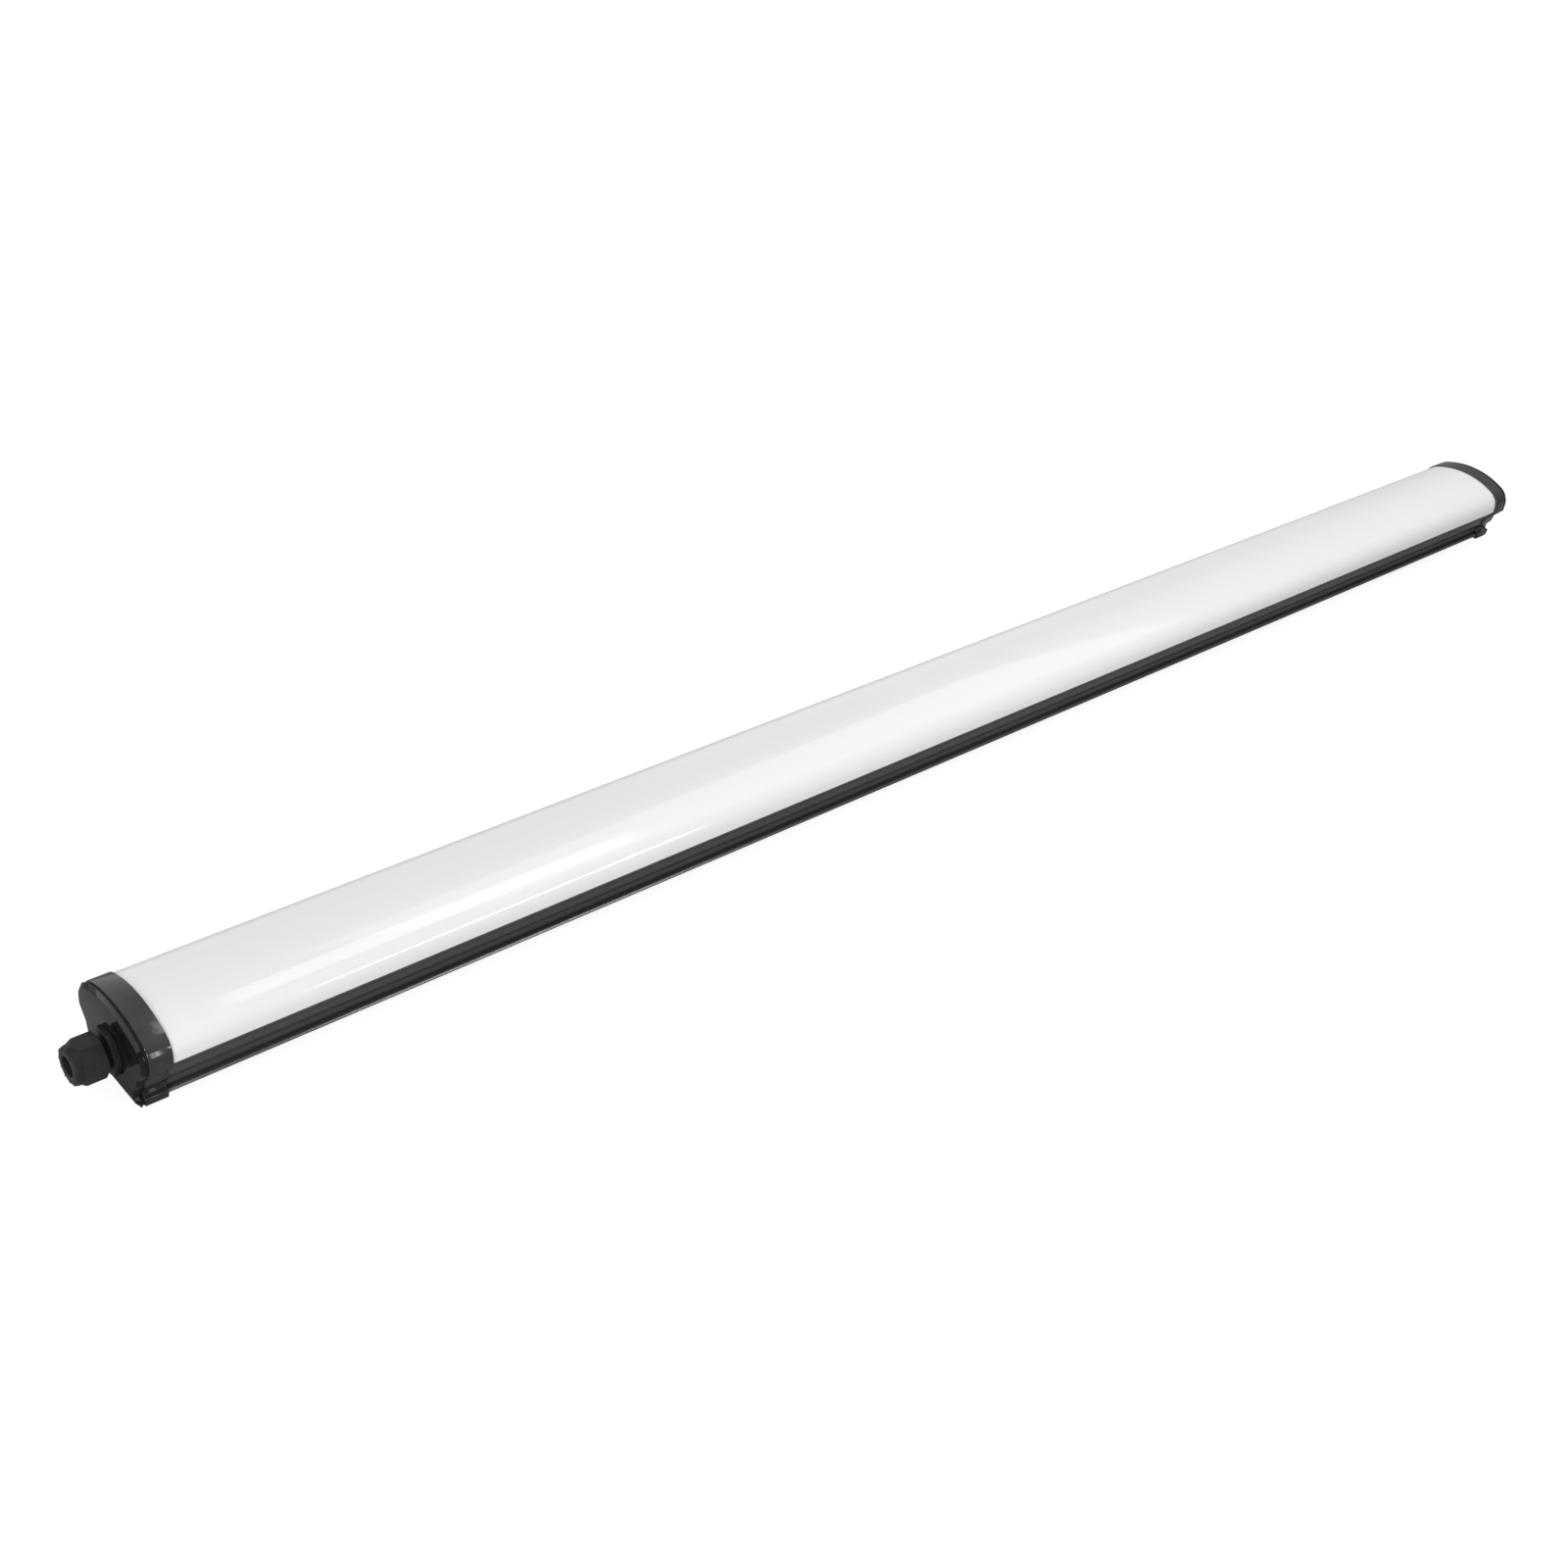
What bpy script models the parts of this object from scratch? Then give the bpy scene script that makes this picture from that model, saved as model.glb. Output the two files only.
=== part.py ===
"""Vapor tight light fixture, 1.2 m long: a model in metres, +Z up, +X along the fixture.

The fixture lies on its back with the lens up and the cable gland at the -X end. The origin is
the middle of the body's back face. Every cross section is an outline in (y, z), and every
outline is counterclockwise seen from -X with y to the right, so offsets grow outwards.
"""

import bpy
import bmesh
import numpy as np
from mathutils import Vector

# Overall
fixture_length = 1.200  # from the outer face of one end plate to that of the other
fit_gap = 0.0003  # between seated pieces
running_gap = 0.0003  # between screwed or sliding pieces
overrun = 0.002  # how far a cutter passes the wall that it cuts
cut_overlap = 0.0004  # how far joined shapes run into each other

# Side of the body, from the back up to the seam with the lens
flange_half_width = 0.0261
flange_thickness = 0.0019
slot_height = 0.0010
slot_depth = 0.0022
waist_half_width = 0.0232
lower_face_half_width = 0.0235
lower_face_top = 0.0070
middle_half_width = 0.0265
middle_bottom = 0.0115
middle_top = 0.0167
middle_draft = 0.0012
body_half_width = 0.03375
shoulder_bottom = 0.0240
seam_height = 0.0250

# Arch of the lens
lens_top_height = 0.0459
lens_crown_radius = 0.0657
lens_shoulder_radius = 0.01246
lens_wall = 0.0018
lens_flange_thickness = 0.0015
lens_flange_reach = 0.0022
crown_steps = 16
shoulder_steps = 7

# Inside of the body
back_wall = 0.0020
side_wall = 0.0018
hook_reach = 0.0016
hook_thickness = 0.0012
hook_rib = 0.0014
tray_thickness = 0.0012
tray_slot_depth = 0.0022
tray_ledge_thickness = 0.0014
tray_ledge_reach = 0.0007
port_outer_radius = 0.0029
port_bore_radius = 0.0016
port_slot_angle = 40.0
lower_port_half_spacing = 0.0163
upper_port_half_spacing = 0.0239
upper_port_height = 0.0162
port_steps = 5

# End collar, end seal, gasket and end plate, measured inwards from the plate's outer face
collar_proud = 0.00095
foot_drop = 0.0026
foot_taper = 0.0007
plate_rim = 0.0027
plate_chamfer = 0.0019
plate_land = 0.0006
plate_inset = 0.0001
gasket_line = 0.0010
gasket_thickness = 0.0005
gasket_recess = 0.0008
gasket_width = 0.0013
collar_length = 0.0129
pocket_depth = 0.0062
seal_thickness = 0.0012
window_low_half_width = 0.0125
window_low_height = 0.0040
window_knee_height = 0.0094
window_half_width = 0.0190
window_spring_low = 0.0150
window_spring_high = 0.0270
window_top_height = 0.0370
window_steps = 6
plug_wall = 0.0014
plug_depth = 0.0045
snap_width = 0.0050
snap_thickness = 0.0017
snap_reach = 0.0011
snap_length = 0.0010
snap_depth = 0.0040
low_snap_half_spacing = 0.0060
side_snap_height = 0.0212
end_screw_shank_radius = 0.0014
end_screw_head_radius = 0.0026
end_screw_head_height = 0.0020
end_screw_length = 0.0120
screw_sides = 10
head_crown_share = 0.7  # of the head's radius, at its top
head_rim_share = 0.6  # of the head's height, up to its full radius
tip_share = 0.4  # of the shank's radius, at its tip

# Cable gland on the -X end plate, measured outwards from the plate's outer face
gland_height = 0.0176
gland_thread_radius = 0.0079
gland_thread_inside = 0.0080
gland_base_flats = 0.0240
gland_base_thickness = 0.0028
washer_inner_radius = 0.0083
washer_outer_radius = 0.0102
washer_thickness = 0.0006
neck_radius = 0.0089
neck_end = 0.0130
claw_end = 0.0182
claw_outer_radius = 0.0076
claw_slot_width = 0.0012
claw_count = 8
seal_seat_start = 0.0072
seal_seat_radius = 0.0064
gland_bore_radius = 0.0050
gland_seal_bore_radius = 0.0040
nut_start = 0.0056
nut_flats = 0.0220
nut_rear_chamfer = 0.0007
nut_corner_end = 0.0160
nut_flat_end = 0.0185
nut_end = 0.0226
nut_nose_radius = 0.0103
nut_nose_round = 0.0016
nut_mouth_radius = 0.0056
nut_cone_start = 0.0140
nut_turn = 55.0  # degrees from +Y to the hexagon's first corner
nut_rib_count = 12
nut_rib_width = 0.0009
nut_rib_height = 0.0005
slip_ring_thickness = 0.0007
slip_ring_inner_radius = 0.0058
lock_nut_flats = 0.0200
lock_nut_thickness = 0.0040
turn_steps = 32

# Gear tray and LED boards
tray_end_clearance = 0.0008
board_count = 4
board_row_margin = 0.0098
board_width = 0.0300
board_thickness = 0.0016
board_spacing = 0.0050
board_screw_inset = 0.0080
led_count = 18
led_length = 0.0030
led_width = 0.0028
led_height = 0.0007
board_screw_head_radius = 0.0024
board_screw_head_height = 0.0010
board_screw_shank_radius = 0.0012
link_width = 0.0060
link_height = 0.0022
link_reach = 0.0040

# Driver under the tray
driver_start = 0.1500
driver_length = 0.2300
driver_width = 0.0300
driver_height = 0.0120
driver_lid_thickness = 0.0014
driver_wall = 0.0015
driver_ear_length = 0.0080
driver_ear_thickness = 0.0016
driver_part_count = 5
driver_part_height = 0.0060
driver_lead_offset = 0.0060

# Terminal block under the tray and the earth screw beside it
terminal_start = 0.0700
terminal_length = 0.0200
terminal_pitch = 0.0080
terminal_ways = 3
terminal_height = 0.0130
terminal_side = 0.0020
wire_hole_radius = 0.0018
clamp_screw_radius = 0.0019
clamp_screw_length = 0.0050
earth_distance = 0.0220
earth_tag_radius = 0.0036
earth_tag_thickness = 0.0008
earth_tag_tail = 0.0060

# Leads
lead_radius = 0.0010
lead_bevel_resolution = 2
lead_point_spacing = 0.0120
lead_hole_radius = 0.0014
lead_hole_offset = 0.0085
lead_hole_spacing = 0.0035

half_length = fixture_length / 2
tray_slot_bottom = seam_height - tray_ledge_thickness - tray_thickness - 2 * fit_gap
collar_front = plate_rim + gasket_line
collar_rear = collar_front + collar_length
web_rear = collar_rear - pocket_depth
body_end = web_rear + seal_thickness + 2 * fit_gap
tray_bottom = tray_slot_bottom + fit_gap
tray_top = tray_bottom + tray_thickness
tray_half_length = half_length - body_end - tray_end_clearance
board_pitch = (2 * (tray_half_length - board_row_margin) + board_spacing) / board_count
board_length = board_pitch - board_spacing
lower_port_height = back_wall + port_outer_radius
port_centres = [
    (side * spacing, height)
    for side in (-1, 1)
    for spacing, height in (
        (lower_port_half_spacing, lower_port_height),
        (upper_port_half_spacing, upper_port_height),
    )
]


# Clearing the scene, and the empty that carries the fixture

for old in list(bpy.data.objects):
    bpy.data.objects.remove(old)

fixture = bpy.data.objects.new("fixture", None)
bpy.context.scene.collection.objects.link(fixture)


def make_material(name, colour, roughness, metallic=0.0):
    material = bpy.data.materials.new(name)
    material.use_nodes = True
    shader = material.node_tree.nodes["Principled BSDF"]
    shader.inputs["Base Color"].default_value = (*colour, 1.0)
    shader.inputs["Roughness"].default_value = roughness
    shader.inputs["Metallic"].default_value = metallic
    return material


black_extrusion = make_material("black extrusion", (0.035, 0.036, 0.038), 0.32)
black_moulding = make_material("black moulding", (0.040, 0.041, 0.043), 0.22)
gland_nylon = make_material("gland nylon", (0.022, 0.022, 0.024), 0.38)
opal = make_material("opal polycarbonate", (0.88, 0.88, 0.88), 0.12)
rubber = make_material("black rubber", (0.012, 0.012, 0.012), 0.75)
silicone = make_material("grey silicone", (0.35, 0.36, 0.37), 0.60)
steel = make_material("zinc plated steel", (0.62, 0.63, 0.64), 0.30, 1.0)
white_sheet = make_material("white painted sheet", (0.80, 0.80, 0.78), 0.45)
board_white = make_material("white board", (0.82, 0.83, 0.82), 0.40)
driver_plastic = make_material("white driver plastic", (0.74, 0.74, 0.72), 0.45)
terminal_plastic = make_material("terminal plastic", (0.70, 0.70, 0.68), 0.40)
brown_insulation = make_material("brown insulation", (0.16, 0.06, 0.02), 0.45)
blue_insulation = make_material("blue insulation", (0.02, 0.12, 0.45), 0.45)
earth_insulation = make_material("green insulation", (0.05, 0.32, 0.06), 0.45)
red_insulation = make_material("red insulation", (0.50, 0.02, 0.02), 0.45)
black_insulation = make_material("black insulation", (0.02, 0.02, 0.02), 0.45)


# Outlines


def mirrored(half):
    """A whole outline from its +Y half, listed from the bottom up."""
    half = np.array(half)
    other = half[::-1] * (-1, 1)
    if abs(half[-1, 0]) < 1e-9:
        other = other[1:]
    if abs(half[0, 0]) < 1e-9:
        other = other[:-1]
    return np.concatenate([half, other])


def grown(outline, distance):
    """The outline with each side moved outwards by distance, corners kept sharp."""
    along = np.roll(outline, -1, axis=0) - outline
    along /= np.linalg.norm(along, axis=1)[:, None]
    normal = np.column_stack([along[:, 1], -along[:, 0]])
    before = np.roll(normal, 1, axis=0)
    corner = (normal + before) / (1 + (normal * before).sum(axis=1))[:, None]
    return outline + distance * corner


def arc(centre, radius, start, stop, steps):
    """Points on a circle from start to stop, in degrees."""
    angle = np.radians(np.linspace(start, stop, steps + 1))
    return np.column_stack(
        [centre[0] + radius * np.cos(angle), centre[1] + radius * np.sin(angle)]
    )


def arch(half_width, top, crown_radius, shoulder_radius):
    """+Y half of a crown arc with tangent shoulder arcs that end upright at the half width."""
    crown_centre = top - crown_radius
    shoulder_y = half_width - shoulder_radius
    rise = np.sqrt((crown_radius - shoulder_radius) ** 2 - shoulder_y**2)
    tangent = np.degrees(np.arctan2(rise, shoulder_y))
    shoulder = arc(
        (shoulder_y, crown_centre + rise), shoulder_radius, 0, tangent, shoulder_steps
    )
    crown = arc((0, crown_centre), crown_radius, tangent, 90, crown_steps // 2)
    return np.concatenate([shoulder, crown[1:]])


lens_outer_half = arch(
    body_half_width, lens_top_height, lens_crown_radius, lens_shoulder_radius
)
lens_inner_half = arch(
    body_half_width - lens_wall,
    lens_top_height - lens_wall,
    lens_crown_radius - lens_wall,
    lens_shoulder_radius - lens_wall,
)
side_points = [
    (flange_half_width, 0),
    (flange_half_width, flange_thickness),
    (waist_half_width, flange_thickness + slot_height),
    (lower_face_half_width, lower_face_top),
    (middle_half_width, middle_bottom),
    (middle_half_width + middle_draft, middle_top),
    (body_half_width, shoulder_bottom),
]
skin = mirrored(np.concatenate([side_points, lens_outer_half]))


def collar_outline(inset=0.0):
    """The skin grown by the collar's height over it, with feet that reach below the back."""
    outline = grown(skin, collar_proud - inset)
    feet = [0, len(outline) - 1]
    outline[feet, 0] -= foot_taper * np.sign(outline[feet, 0])
    outline[feet, 1] = -foot_drop + inset
    return outline


def port_points(half_spacing, height, first, last, mouth):
    """A screw port's outline inside the body: round it, into its bore and out again."""
    centre = (half_spacing, height)
    half_mouth = port_slot_angle / 2
    lead_in = arc(centre, port_outer_radius, first, mouth - half_mouth, port_steps)
    bore = arc(
        centre,
        port_bore_radius,
        mouth - half_mouth,
        mouth + half_mouth - 360,
        3 * port_steps,
    )
    lead_out = arc(centre, port_outer_radius, mouth + half_mouth, last, port_steps)
    return np.concatenate([lead_in, bore, lead_out])


def wall_half_width(height):
    """Half width of the body's outer side between its steps, at a height."""
    heights = [0, flange_thickness + slot_height, lower_face_top, middle_bottom]
    heights += [middle_top, shoulder_bottom]
    widths = [waist_half_width, waist_half_width, lower_face_half_width, middle_half_width]
    widths += [middle_half_width + middle_draft, body_half_width]
    return float(np.interp(height, heights, widths))


def body_outline():
    """The whole extrusion: outside from the back up, then the inside down to the floor."""
    slot_floor = flange_half_width - slot_depth - (flange_half_width - waist_half_width)
    slot_top = flange_thickness + slot_height
    outer = side_points[:2]
    outer += [(slot_floor, flange_thickness), (slot_floor, slot_top)]
    outer += side_points[2:] + [(body_half_width, seam_height)]
    flange_seat = body_half_width - lens_wall - lens_flange_reach - fit_gap
    lens_flange_top = seam_height + lens_flange_thickness + 2 * fit_gap
    hook_top = lens_flange_top + hook_thickness
    rib_inner = flange_seat - hook_rib
    ledge_top = tray_slot_bottom
    slot_end = rib_inner + tray_slot_depth
    ledge_end = rib_inner - tray_ledge_reach
    ledge_bottom = ledge_top - tray_ledge_thickness
    upper = [
        (flange_seat, seam_height),
        (flange_seat, lens_flange_top),
        (flange_seat + hook_reach, lens_flange_top),
        (flange_seat + hook_reach, hook_top),
        (rib_inner, hook_top),
        (rib_inner, seam_height - tray_ledge_thickness),
        (slot_end, seam_height - tray_ledge_thickness),
        (slot_end, ledge_top),
        (ledge_end, ledge_top),
        (ledge_end, ledge_bottom),
        (wall_half_width(ledge_bottom) - 1.25 * side_wall, ledge_bottom),
    ]
    port_rise = port_outer_radius / 2
    upper_port = port_points(upper_port_half_spacing, upper_port_height, 30, 325, 180)
    wall = [
        (wall_half_width(upper_port_height - port_rise) - 1.1 * side_wall,
         upper_port_height - 1.2 * port_outer_radius),
        (wall_half_width(lower_face_top) - side_wall, lower_face_top + side_wall / 2),
        (wall_half_width(lower_face_top) - side_wall, slot_top + side_wall),
    ]
    lower_start = np.degrees(
        np.arcsin((slot_top + side_wall - lower_port_height) / port_outer_radius)
    )
    lower_port = port_points(
        lower_port_half_spacing, lower_port_height, lower_start, 262, 135
    )
    floor = [(lower_port[-1][0] - port_bore_radius, back_wall)]
    return mirrored(np.concatenate([outer, upper, upper_port, wall, lower_port, floor]))


def window_outline():
    """Opening in the collar's web: narrow below for the lower screws, arched above."""
    half = [
        (window_low_half_width, window_low_height),
        (window_low_half_width, window_knee_height),
        (window_half_width, window_spring_low),
    ]
    angle = np.radians(np.linspace(0, 90, window_steps + 1))
    rise = window_top_height - window_spring_high
    curve = np.column_stack(
        [window_half_width * np.cos(angle), window_spring_high + rise * np.sin(angle)]
    )
    curve[-1, 0] = 0
    return mirrored(np.concatenate([half, curve]))


def hexagon(flats, turn):
    """Corners of a hexagon on the gland's axis, from its size across the flats."""
    return arc((0, 0), flats / np.sqrt(3), turn, turn + 300, 5)


def hole_at(centre, radius, steps=screw_sides):
    return arc(centre, radius, 0, 360 - 360 / steps, steps - 1)


# Solids


def add_object(
    name, bm, material, location=(0, 0, 0), rotation=(0, 0, 0), parent=fixture, smooth=35.0
):
    """Turns a bmesh into a named object whose faces point outwards."""
    bmesh.ops.recalc_face_normals(bm, faces=bm.faces)
    mesh = bpy.data.meshes.new(name)
    bm.to_mesh(mesh)
    bm.free()
    mesh.materials.append(material)
    mesh.shade_smooth()
    mesh.set_sharp_from_angle(angle=np.radians(smooth))
    obj = bpy.data.objects.new(name, mesh)
    bpy.context.scene.collection.objects.link(obj)
    obj.location = location
    obj.rotation_euler = rotation
    obj.parent = parent
    return obj


def add_copy(obj, name, location):
    """The same piece again under its own name."""
    copy = bpy.data.objects.new(name, obj.data)
    bpy.context.scene.collection.objects.link(copy)
    copy.location = location
    copy.rotation_euler = obj.rotation_euler
    copy.parent = obj.parent
    return copy


def loft_into(bm, stations):
    """Adds a closed skin through outlines of equal count, each at its x."""
    rings = [
        [bm.verts.new((x, y, z)) for y, z in outline] for x, outline in stations
    ]
    for ring, following in zip(rings, rings[1:]):
        count = len(ring)
        for i in range(count):
            j = (i + 1) % count
            bm.faces.new((ring[i], ring[j], following[j], following[i]))
    bm.faces.new(rings[0])
    bm.faces.new(rings[-1])


def loft(name, stations, material, **options):
    bm = bmesh.new()
    loft_into(bm, stations)
    return add_object(name, bm, material, **options)


def extrude_filled(bm, edges, across):
    """Fills the flat area between the loops of edges and extrudes it by a vector."""
    bmesh.ops.triangle_fill(bm, use_beauty=True, edges=edges)
    made = bmesh.ops.extrude_face_region(bm, geom=bm.faces[:])
    moved = [v for v in made["geom"] if isinstance(v, bmesh.types.BMVert)]
    bmesh.ops.translate(bm, verts=moved, vec=across)


def plate(name, outline, holes, x_from, x_to, material, **options):
    """A flat piece across the fixture, with holes, as thick as x_to minus x_from."""
    bm = bmesh.new()
    edges = []
    for loop in [outline, *holes]:
        ring = [bm.verts.new((x_from, y, z)) for y, z in loop]
        pairs = zip(ring, ring[1:] + ring[:1])
        edges += [bm.edges.new(pair) for pair in pairs]
    extrude_filled(bm, edges, (x_to - x_from, 0, 0))
    return add_object(name, bm, material, **options)


def turned(name, profile, material, **options):
    """A ring turned about the X axis from a closed profile of (x, radius)."""
    bm = bmesh.new()
    ring = [bm.verts.new((x, radius, 0)) for x, radius in profile]
    edges = [bm.edges.new(pair) for pair in zip(ring, ring[1:] + ring[:1])]
    bmesh.ops.spin(
        bm, geom=ring + edges, cent=(0, 0, 0), axis=(1, 0, 0), angle=2 * np.pi,
        steps=turn_steps, use_merge=True,
    )
    return add_object(name, bm, material, **options)


def turned_solid_into(bm, profile, steps, centre=(0, 0)):
    """Adds a solid turned about a line along X: the profile of (x, radius) gets end faces."""
    rings = [
        [bm.verts.new((x, y, z)) for y, z in hole_at(centre, r, steps)] for x, r in profile
    ]
    for ring, following in zip(rings, rings[1:]):
        for i in range(steps):
            j = (i + 1) % steps
            bm.faces.new((ring[i], ring[j], following[j], following[i]))
    bm.faces.new(rings[0])
    bm.faces.new(rings[-1])


def turned_solid(name, profile, material, steps=turn_steps, **options):
    bm = bmesh.new()
    turned_solid_into(bm, profile, steps)
    return add_object(name, bm, material, **options)


def block_into(bm, low, high):
    """Adds a box between two corners."""
    made = bmesh.ops.create_cube(bm, size=1.0)["verts"]
    low, high = Vector(low), Vector(high)
    for v in made:
        v.co = low + Vector(
            [(high[k] - low[k]) * (v.co[k] + 0.5) for k in range(3)]
        )


def block(name, low, high, material, **options):
    bm = bmesh.new()
    block_into(bm, low, high)
    return add_object(name, bm, material, **options)


def boolean(obj, cutter, operation):
    """A live Boolean whose other solid stays in the file as a hidden guide."""
    modifier = obj.modifiers.new(cutter.name, "BOOLEAN")
    modifier.operation = operation
    modifier.solver = "EXACT"
    modifier.object = cutter
    cutter.hide_render = True
    cutter.display_type = "WIRE"


def prism_into(bm, corners, across):
    """Adds a flat outline extruded by a vector."""
    first = [bm.verts.new(corner) for corner in corners]
    second = [bm.verts.new(Vector(corner) + Vector(across)) for corner in corners]
    count = len(first)
    bm.faces.new(first)
    bm.faces.new(second)
    for i in range(count):
        j = (i + 1) % count
        bm.faces.new((first[i], first[j], second[j], second[i]))


def slab(name, outline, holes, z_from, z_to, material, **options):
    """A flat horizontal piece with holes, its outline given in (x, y)."""
    bm = bmesh.new()
    edges = []
    for loop in [outline, *holes]:
        ring = [bm.verts.new((x, y, z_from)) for x, y in loop]
        edges += [bm.edges.new(pair) for pair in zip(ring, ring[1:] + ring[:1])]
    extrude_filled(bm, edges, (0, 0, z_to - z_from))
    return add_object(name, bm, material, **options)


def upright_into(bm, centre, radius, low, high):
    """Adds an upright cylinder."""
    points = [(x, y, low) for x, y in hole_at(centre, radius)]
    prism_into(bm, points, (0, 0, high - low))


def make_screw(name, head_radius, head_height, shank_radius, length, **options):
    """Pan head screw along its own +X, with the origin under the head."""
    profile = [
        (-head_height, head_radius * head_crown_share),
        (-head_height * head_rim_share, head_radius),
        (0, head_radius),
        (0, shank_radius),
        (length - shank_radius, shank_radius),
        (length, shank_radius * tip_share),
    ]
    return turned_solid(name, profile, steel, steps=screw_sides, **options)


def apply_modifiers(obj):
    """Makes the evaluated shape the object's own mesh, so that copies can share it."""
    graph = bpy.context.evaluated_depsgraph_get()
    obj.data = bpy.data.meshes.new_from_object(obj.evaluated_get(graph))
    obj.modifiers.clear()


# Body extrusion and lens, which run from one collar's pocket to the other


def make_body():
    end = half_length - body_end
    outline = body_outline()
    loft("body", [(-end, outline), (end, outline)], black_extrusion)


def make_lens():
    """The lens sits on the body's edge, with flanges turned in under the body's hooks."""
    bottom = seam_height + fit_gap
    top_of_flange = bottom + lens_flange_thickness
    inner_y = body_half_width - lens_wall
    outside = np.concatenate([[(body_half_width, bottom)], lens_outer_half])
    inside = np.concatenate(
        [
            [(inner_y - lens_flange_reach, bottom),
             (inner_y - lens_flange_reach, top_of_flange),
             (inner_y, top_of_flange)],
            lens_inner_half,
        ]
    )
    left_outside = outside[::-1][1:] * (-1, 1)
    right_inside = inside[::-1]
    left_inside = inside[:-1] * (-1, 1)
    outline = np.concatenate([outside, left_outside, left_inside, right_inside])
    end = half_length - body_end
    loft("lens", [(-end, outline), (end, outline)], opal)


# End pieces: the same set at both ends, and the gland's hole at -X only


def hook_corners(side, beyond_edge):
    """The snap hook's own outline: (x, distance beyond the window's edge) for each corner."""
    root = plate_rim - cut_overlap
    catch = collar_front + snap_depth + fit_gap
    tip = catch + snap_length
    corners = [
        (root, -fit_gap),
        (root, -fit_gap - snap_thickness),
        (tip, -fit_gap - snap_thickness),
        (tip, -fit_gap + beyond_edge),
        (catch, snap_reach),
        (catch, -fit_gap),
    ]
    return [(side * (half_length - inward), beyond) for inward, beyond in corners]


def notch_corners(side):
    """The notch behind the window's edge that a snap hook catches in."""
    start = collar_front + snap_depth
    corners = [
        (start, -overrun),
        (web_rear + overrun, -overrun),
        (web_rear + overrun, snap_reach + fit_gap),
        (start, snap_reach + fit_gap),
    ]
    return [(side * (half_length - inward), beyond) for inward, beyond in corners]


def snaps_into(bm, corners, width):
    """Extrudes the outline at the four places where the end plate snaps in."""
    half = width / 2
    for y in (-low_snap_half_spacing, low_snap_half_spacing):
        points = [(x, y - half, window_low_height - beyond) for x, beyond in corners]
        prism_into(bm, points, (0, width, 0))
    for hand in (-1, 1):
        points = [
            (x, hand * (window_half_width + beyond), side_snap_height - half)
            for x, beyond in corners
        ]
        prism_into(bm, points, (0, 0, width))


def make_collar(end, side):
    """Ring round the ends of body and lens, with a web that takes the end screws."""

    def at(inward):
        return side * (half_length - inward)

    def cutter(part, stations):
        return loft(f"collar_{end}_{part}", stations, black_moulding)

    ring = collar_outline()
    collar = loft(
        f"collar_{end}", [(at(collar_front), ring), (at(collar_rear), ring)], black_moulding
    )
    pocket = grown(skin, fit_gap)
    cut = cutter("pocket", [(at(web_rear), pocket), (at(collar_rear + overrun), pocket)])
    boolean(collar, cut, "DIFFERENCE")
    window = window_outline()
    cut = cutter(
        "window", [(at(collar_front - overrun), window), (at(web_rear + overrun), window)]
    )
    boolean(collar, cut, "DIFFERENCE")
    bm = bmesh.new()
    snaps_into(bm, notch_corners(side), snap_width + 2 * fit_gap)
    boolean(collar, add_object(f"collar_{end}_notches", bm, black_moulding), "DIFFERENCE")
    head = end_screw_head_radius + fit_gap
    shank = end_screw_shank_radius + fit_gap
    seat = collar_front + end_screw_head_height + fit_gap
    bm = bmesh.new()
    for centre in port_centres:
        turned_solid_into(
            bm,
            [(at(collar_front - overrun), head), (at(seat), head),
             (at(seat), shank), (at(web_rear + overrun), shank)],
            screw_sides, centre,
        )
    boolean(collar, add_object(f"collar_{end}_holes", bm, black_moulding), "DIFFERENCE")


def make_end_seal(end, side):
    """Soft pad between the collar's web and the ends of body and lens."""
    first = web_rear + fit_gap
    last = first + seal_thickness
    shank = end_screw_shank_radius + fit_gap
    holes = [grown(window_outline(), snap_reach + 2 * fit_gap)]
    holes += [hole_at(centre, shank) for centre in port_centres]
    plate(
        f"end_seal_{end}", skin, holes,
        side * (half_length - first), side * (half_length - last), silicone,
    )


def make_gasket(end, side):
    """Black ring in the line between the collar and the end plate."""
    first = plate_rim + (gasket_line - gasket_thickness) / 2
    last = first + gasket_thickness
    outer = collar_outline(gasket_recess)
    inner = collar_outline(gasket_recess + gasket_width)
    plate(
        f"gasket_{end}", outer, [inner],
        side * (half_length - first), side * (half_length - last), rubber,
    )


def make_end_plate(end, side):
    """Flat glossy cover with a chamfered rim, a plug and snap hooks behind it."""

    def at(inward):
        return side * (half_length - inward)

    face = collar_outline(plate_chamfer)
    rim = collar_outline(plate_inset)
    cover = loft(
        f"end_plate_{end}",
        [(at(0), face), (at(plate_rim - plate_land), rim), (at(plate_rim), rim)],
        black_moulding,
    )
    plug_outer = grown(window_outline(), -fit_gap)
    plug_inner = grown(plug_outer, -plug_wall)
    plug = plate(
        f"end_plate_{end}_plug", plug_outer, [plug_inner],
        at(plate_rim - cut_overlap), at(plate_rim + plug_depth), black_moulding,
    )
    boolean(cover, plug, "UNION")
    bm = bmesh.new()
    snaps_into(bm, hook_corners(side, fit_gap), snap_width)
    boolean(cover, add_object(f"end_plate_{end}_hooks", bm, black_moulding), "UNION")
    return cover


def make_end_screws(end, side):
    """Pan head screws through the collar's web into the extrusion's ports."""
    seat = side * (half_length - collar_front - end_screw_head_height)
    name = "end_screw_{}_{}"
    first, *others = [
        (number, (seat, y, z)) for number, (y, z) in enumerate(port_centres, start=1)
    ]
    screw = make_screw(
        name.format(end, first[0]), end_screw_head_radius, end_screw_head_height,
        end_screw_shank_radius, end_screw_length, location=first[1],
        rotation=(0, np.pi / 2 * (1 + side), 0),
    )
    for number, place in others:
        add_copy(screw, name.format(end, number), place)


# Cable gland, turned about its own axis on the -X end plate

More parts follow.
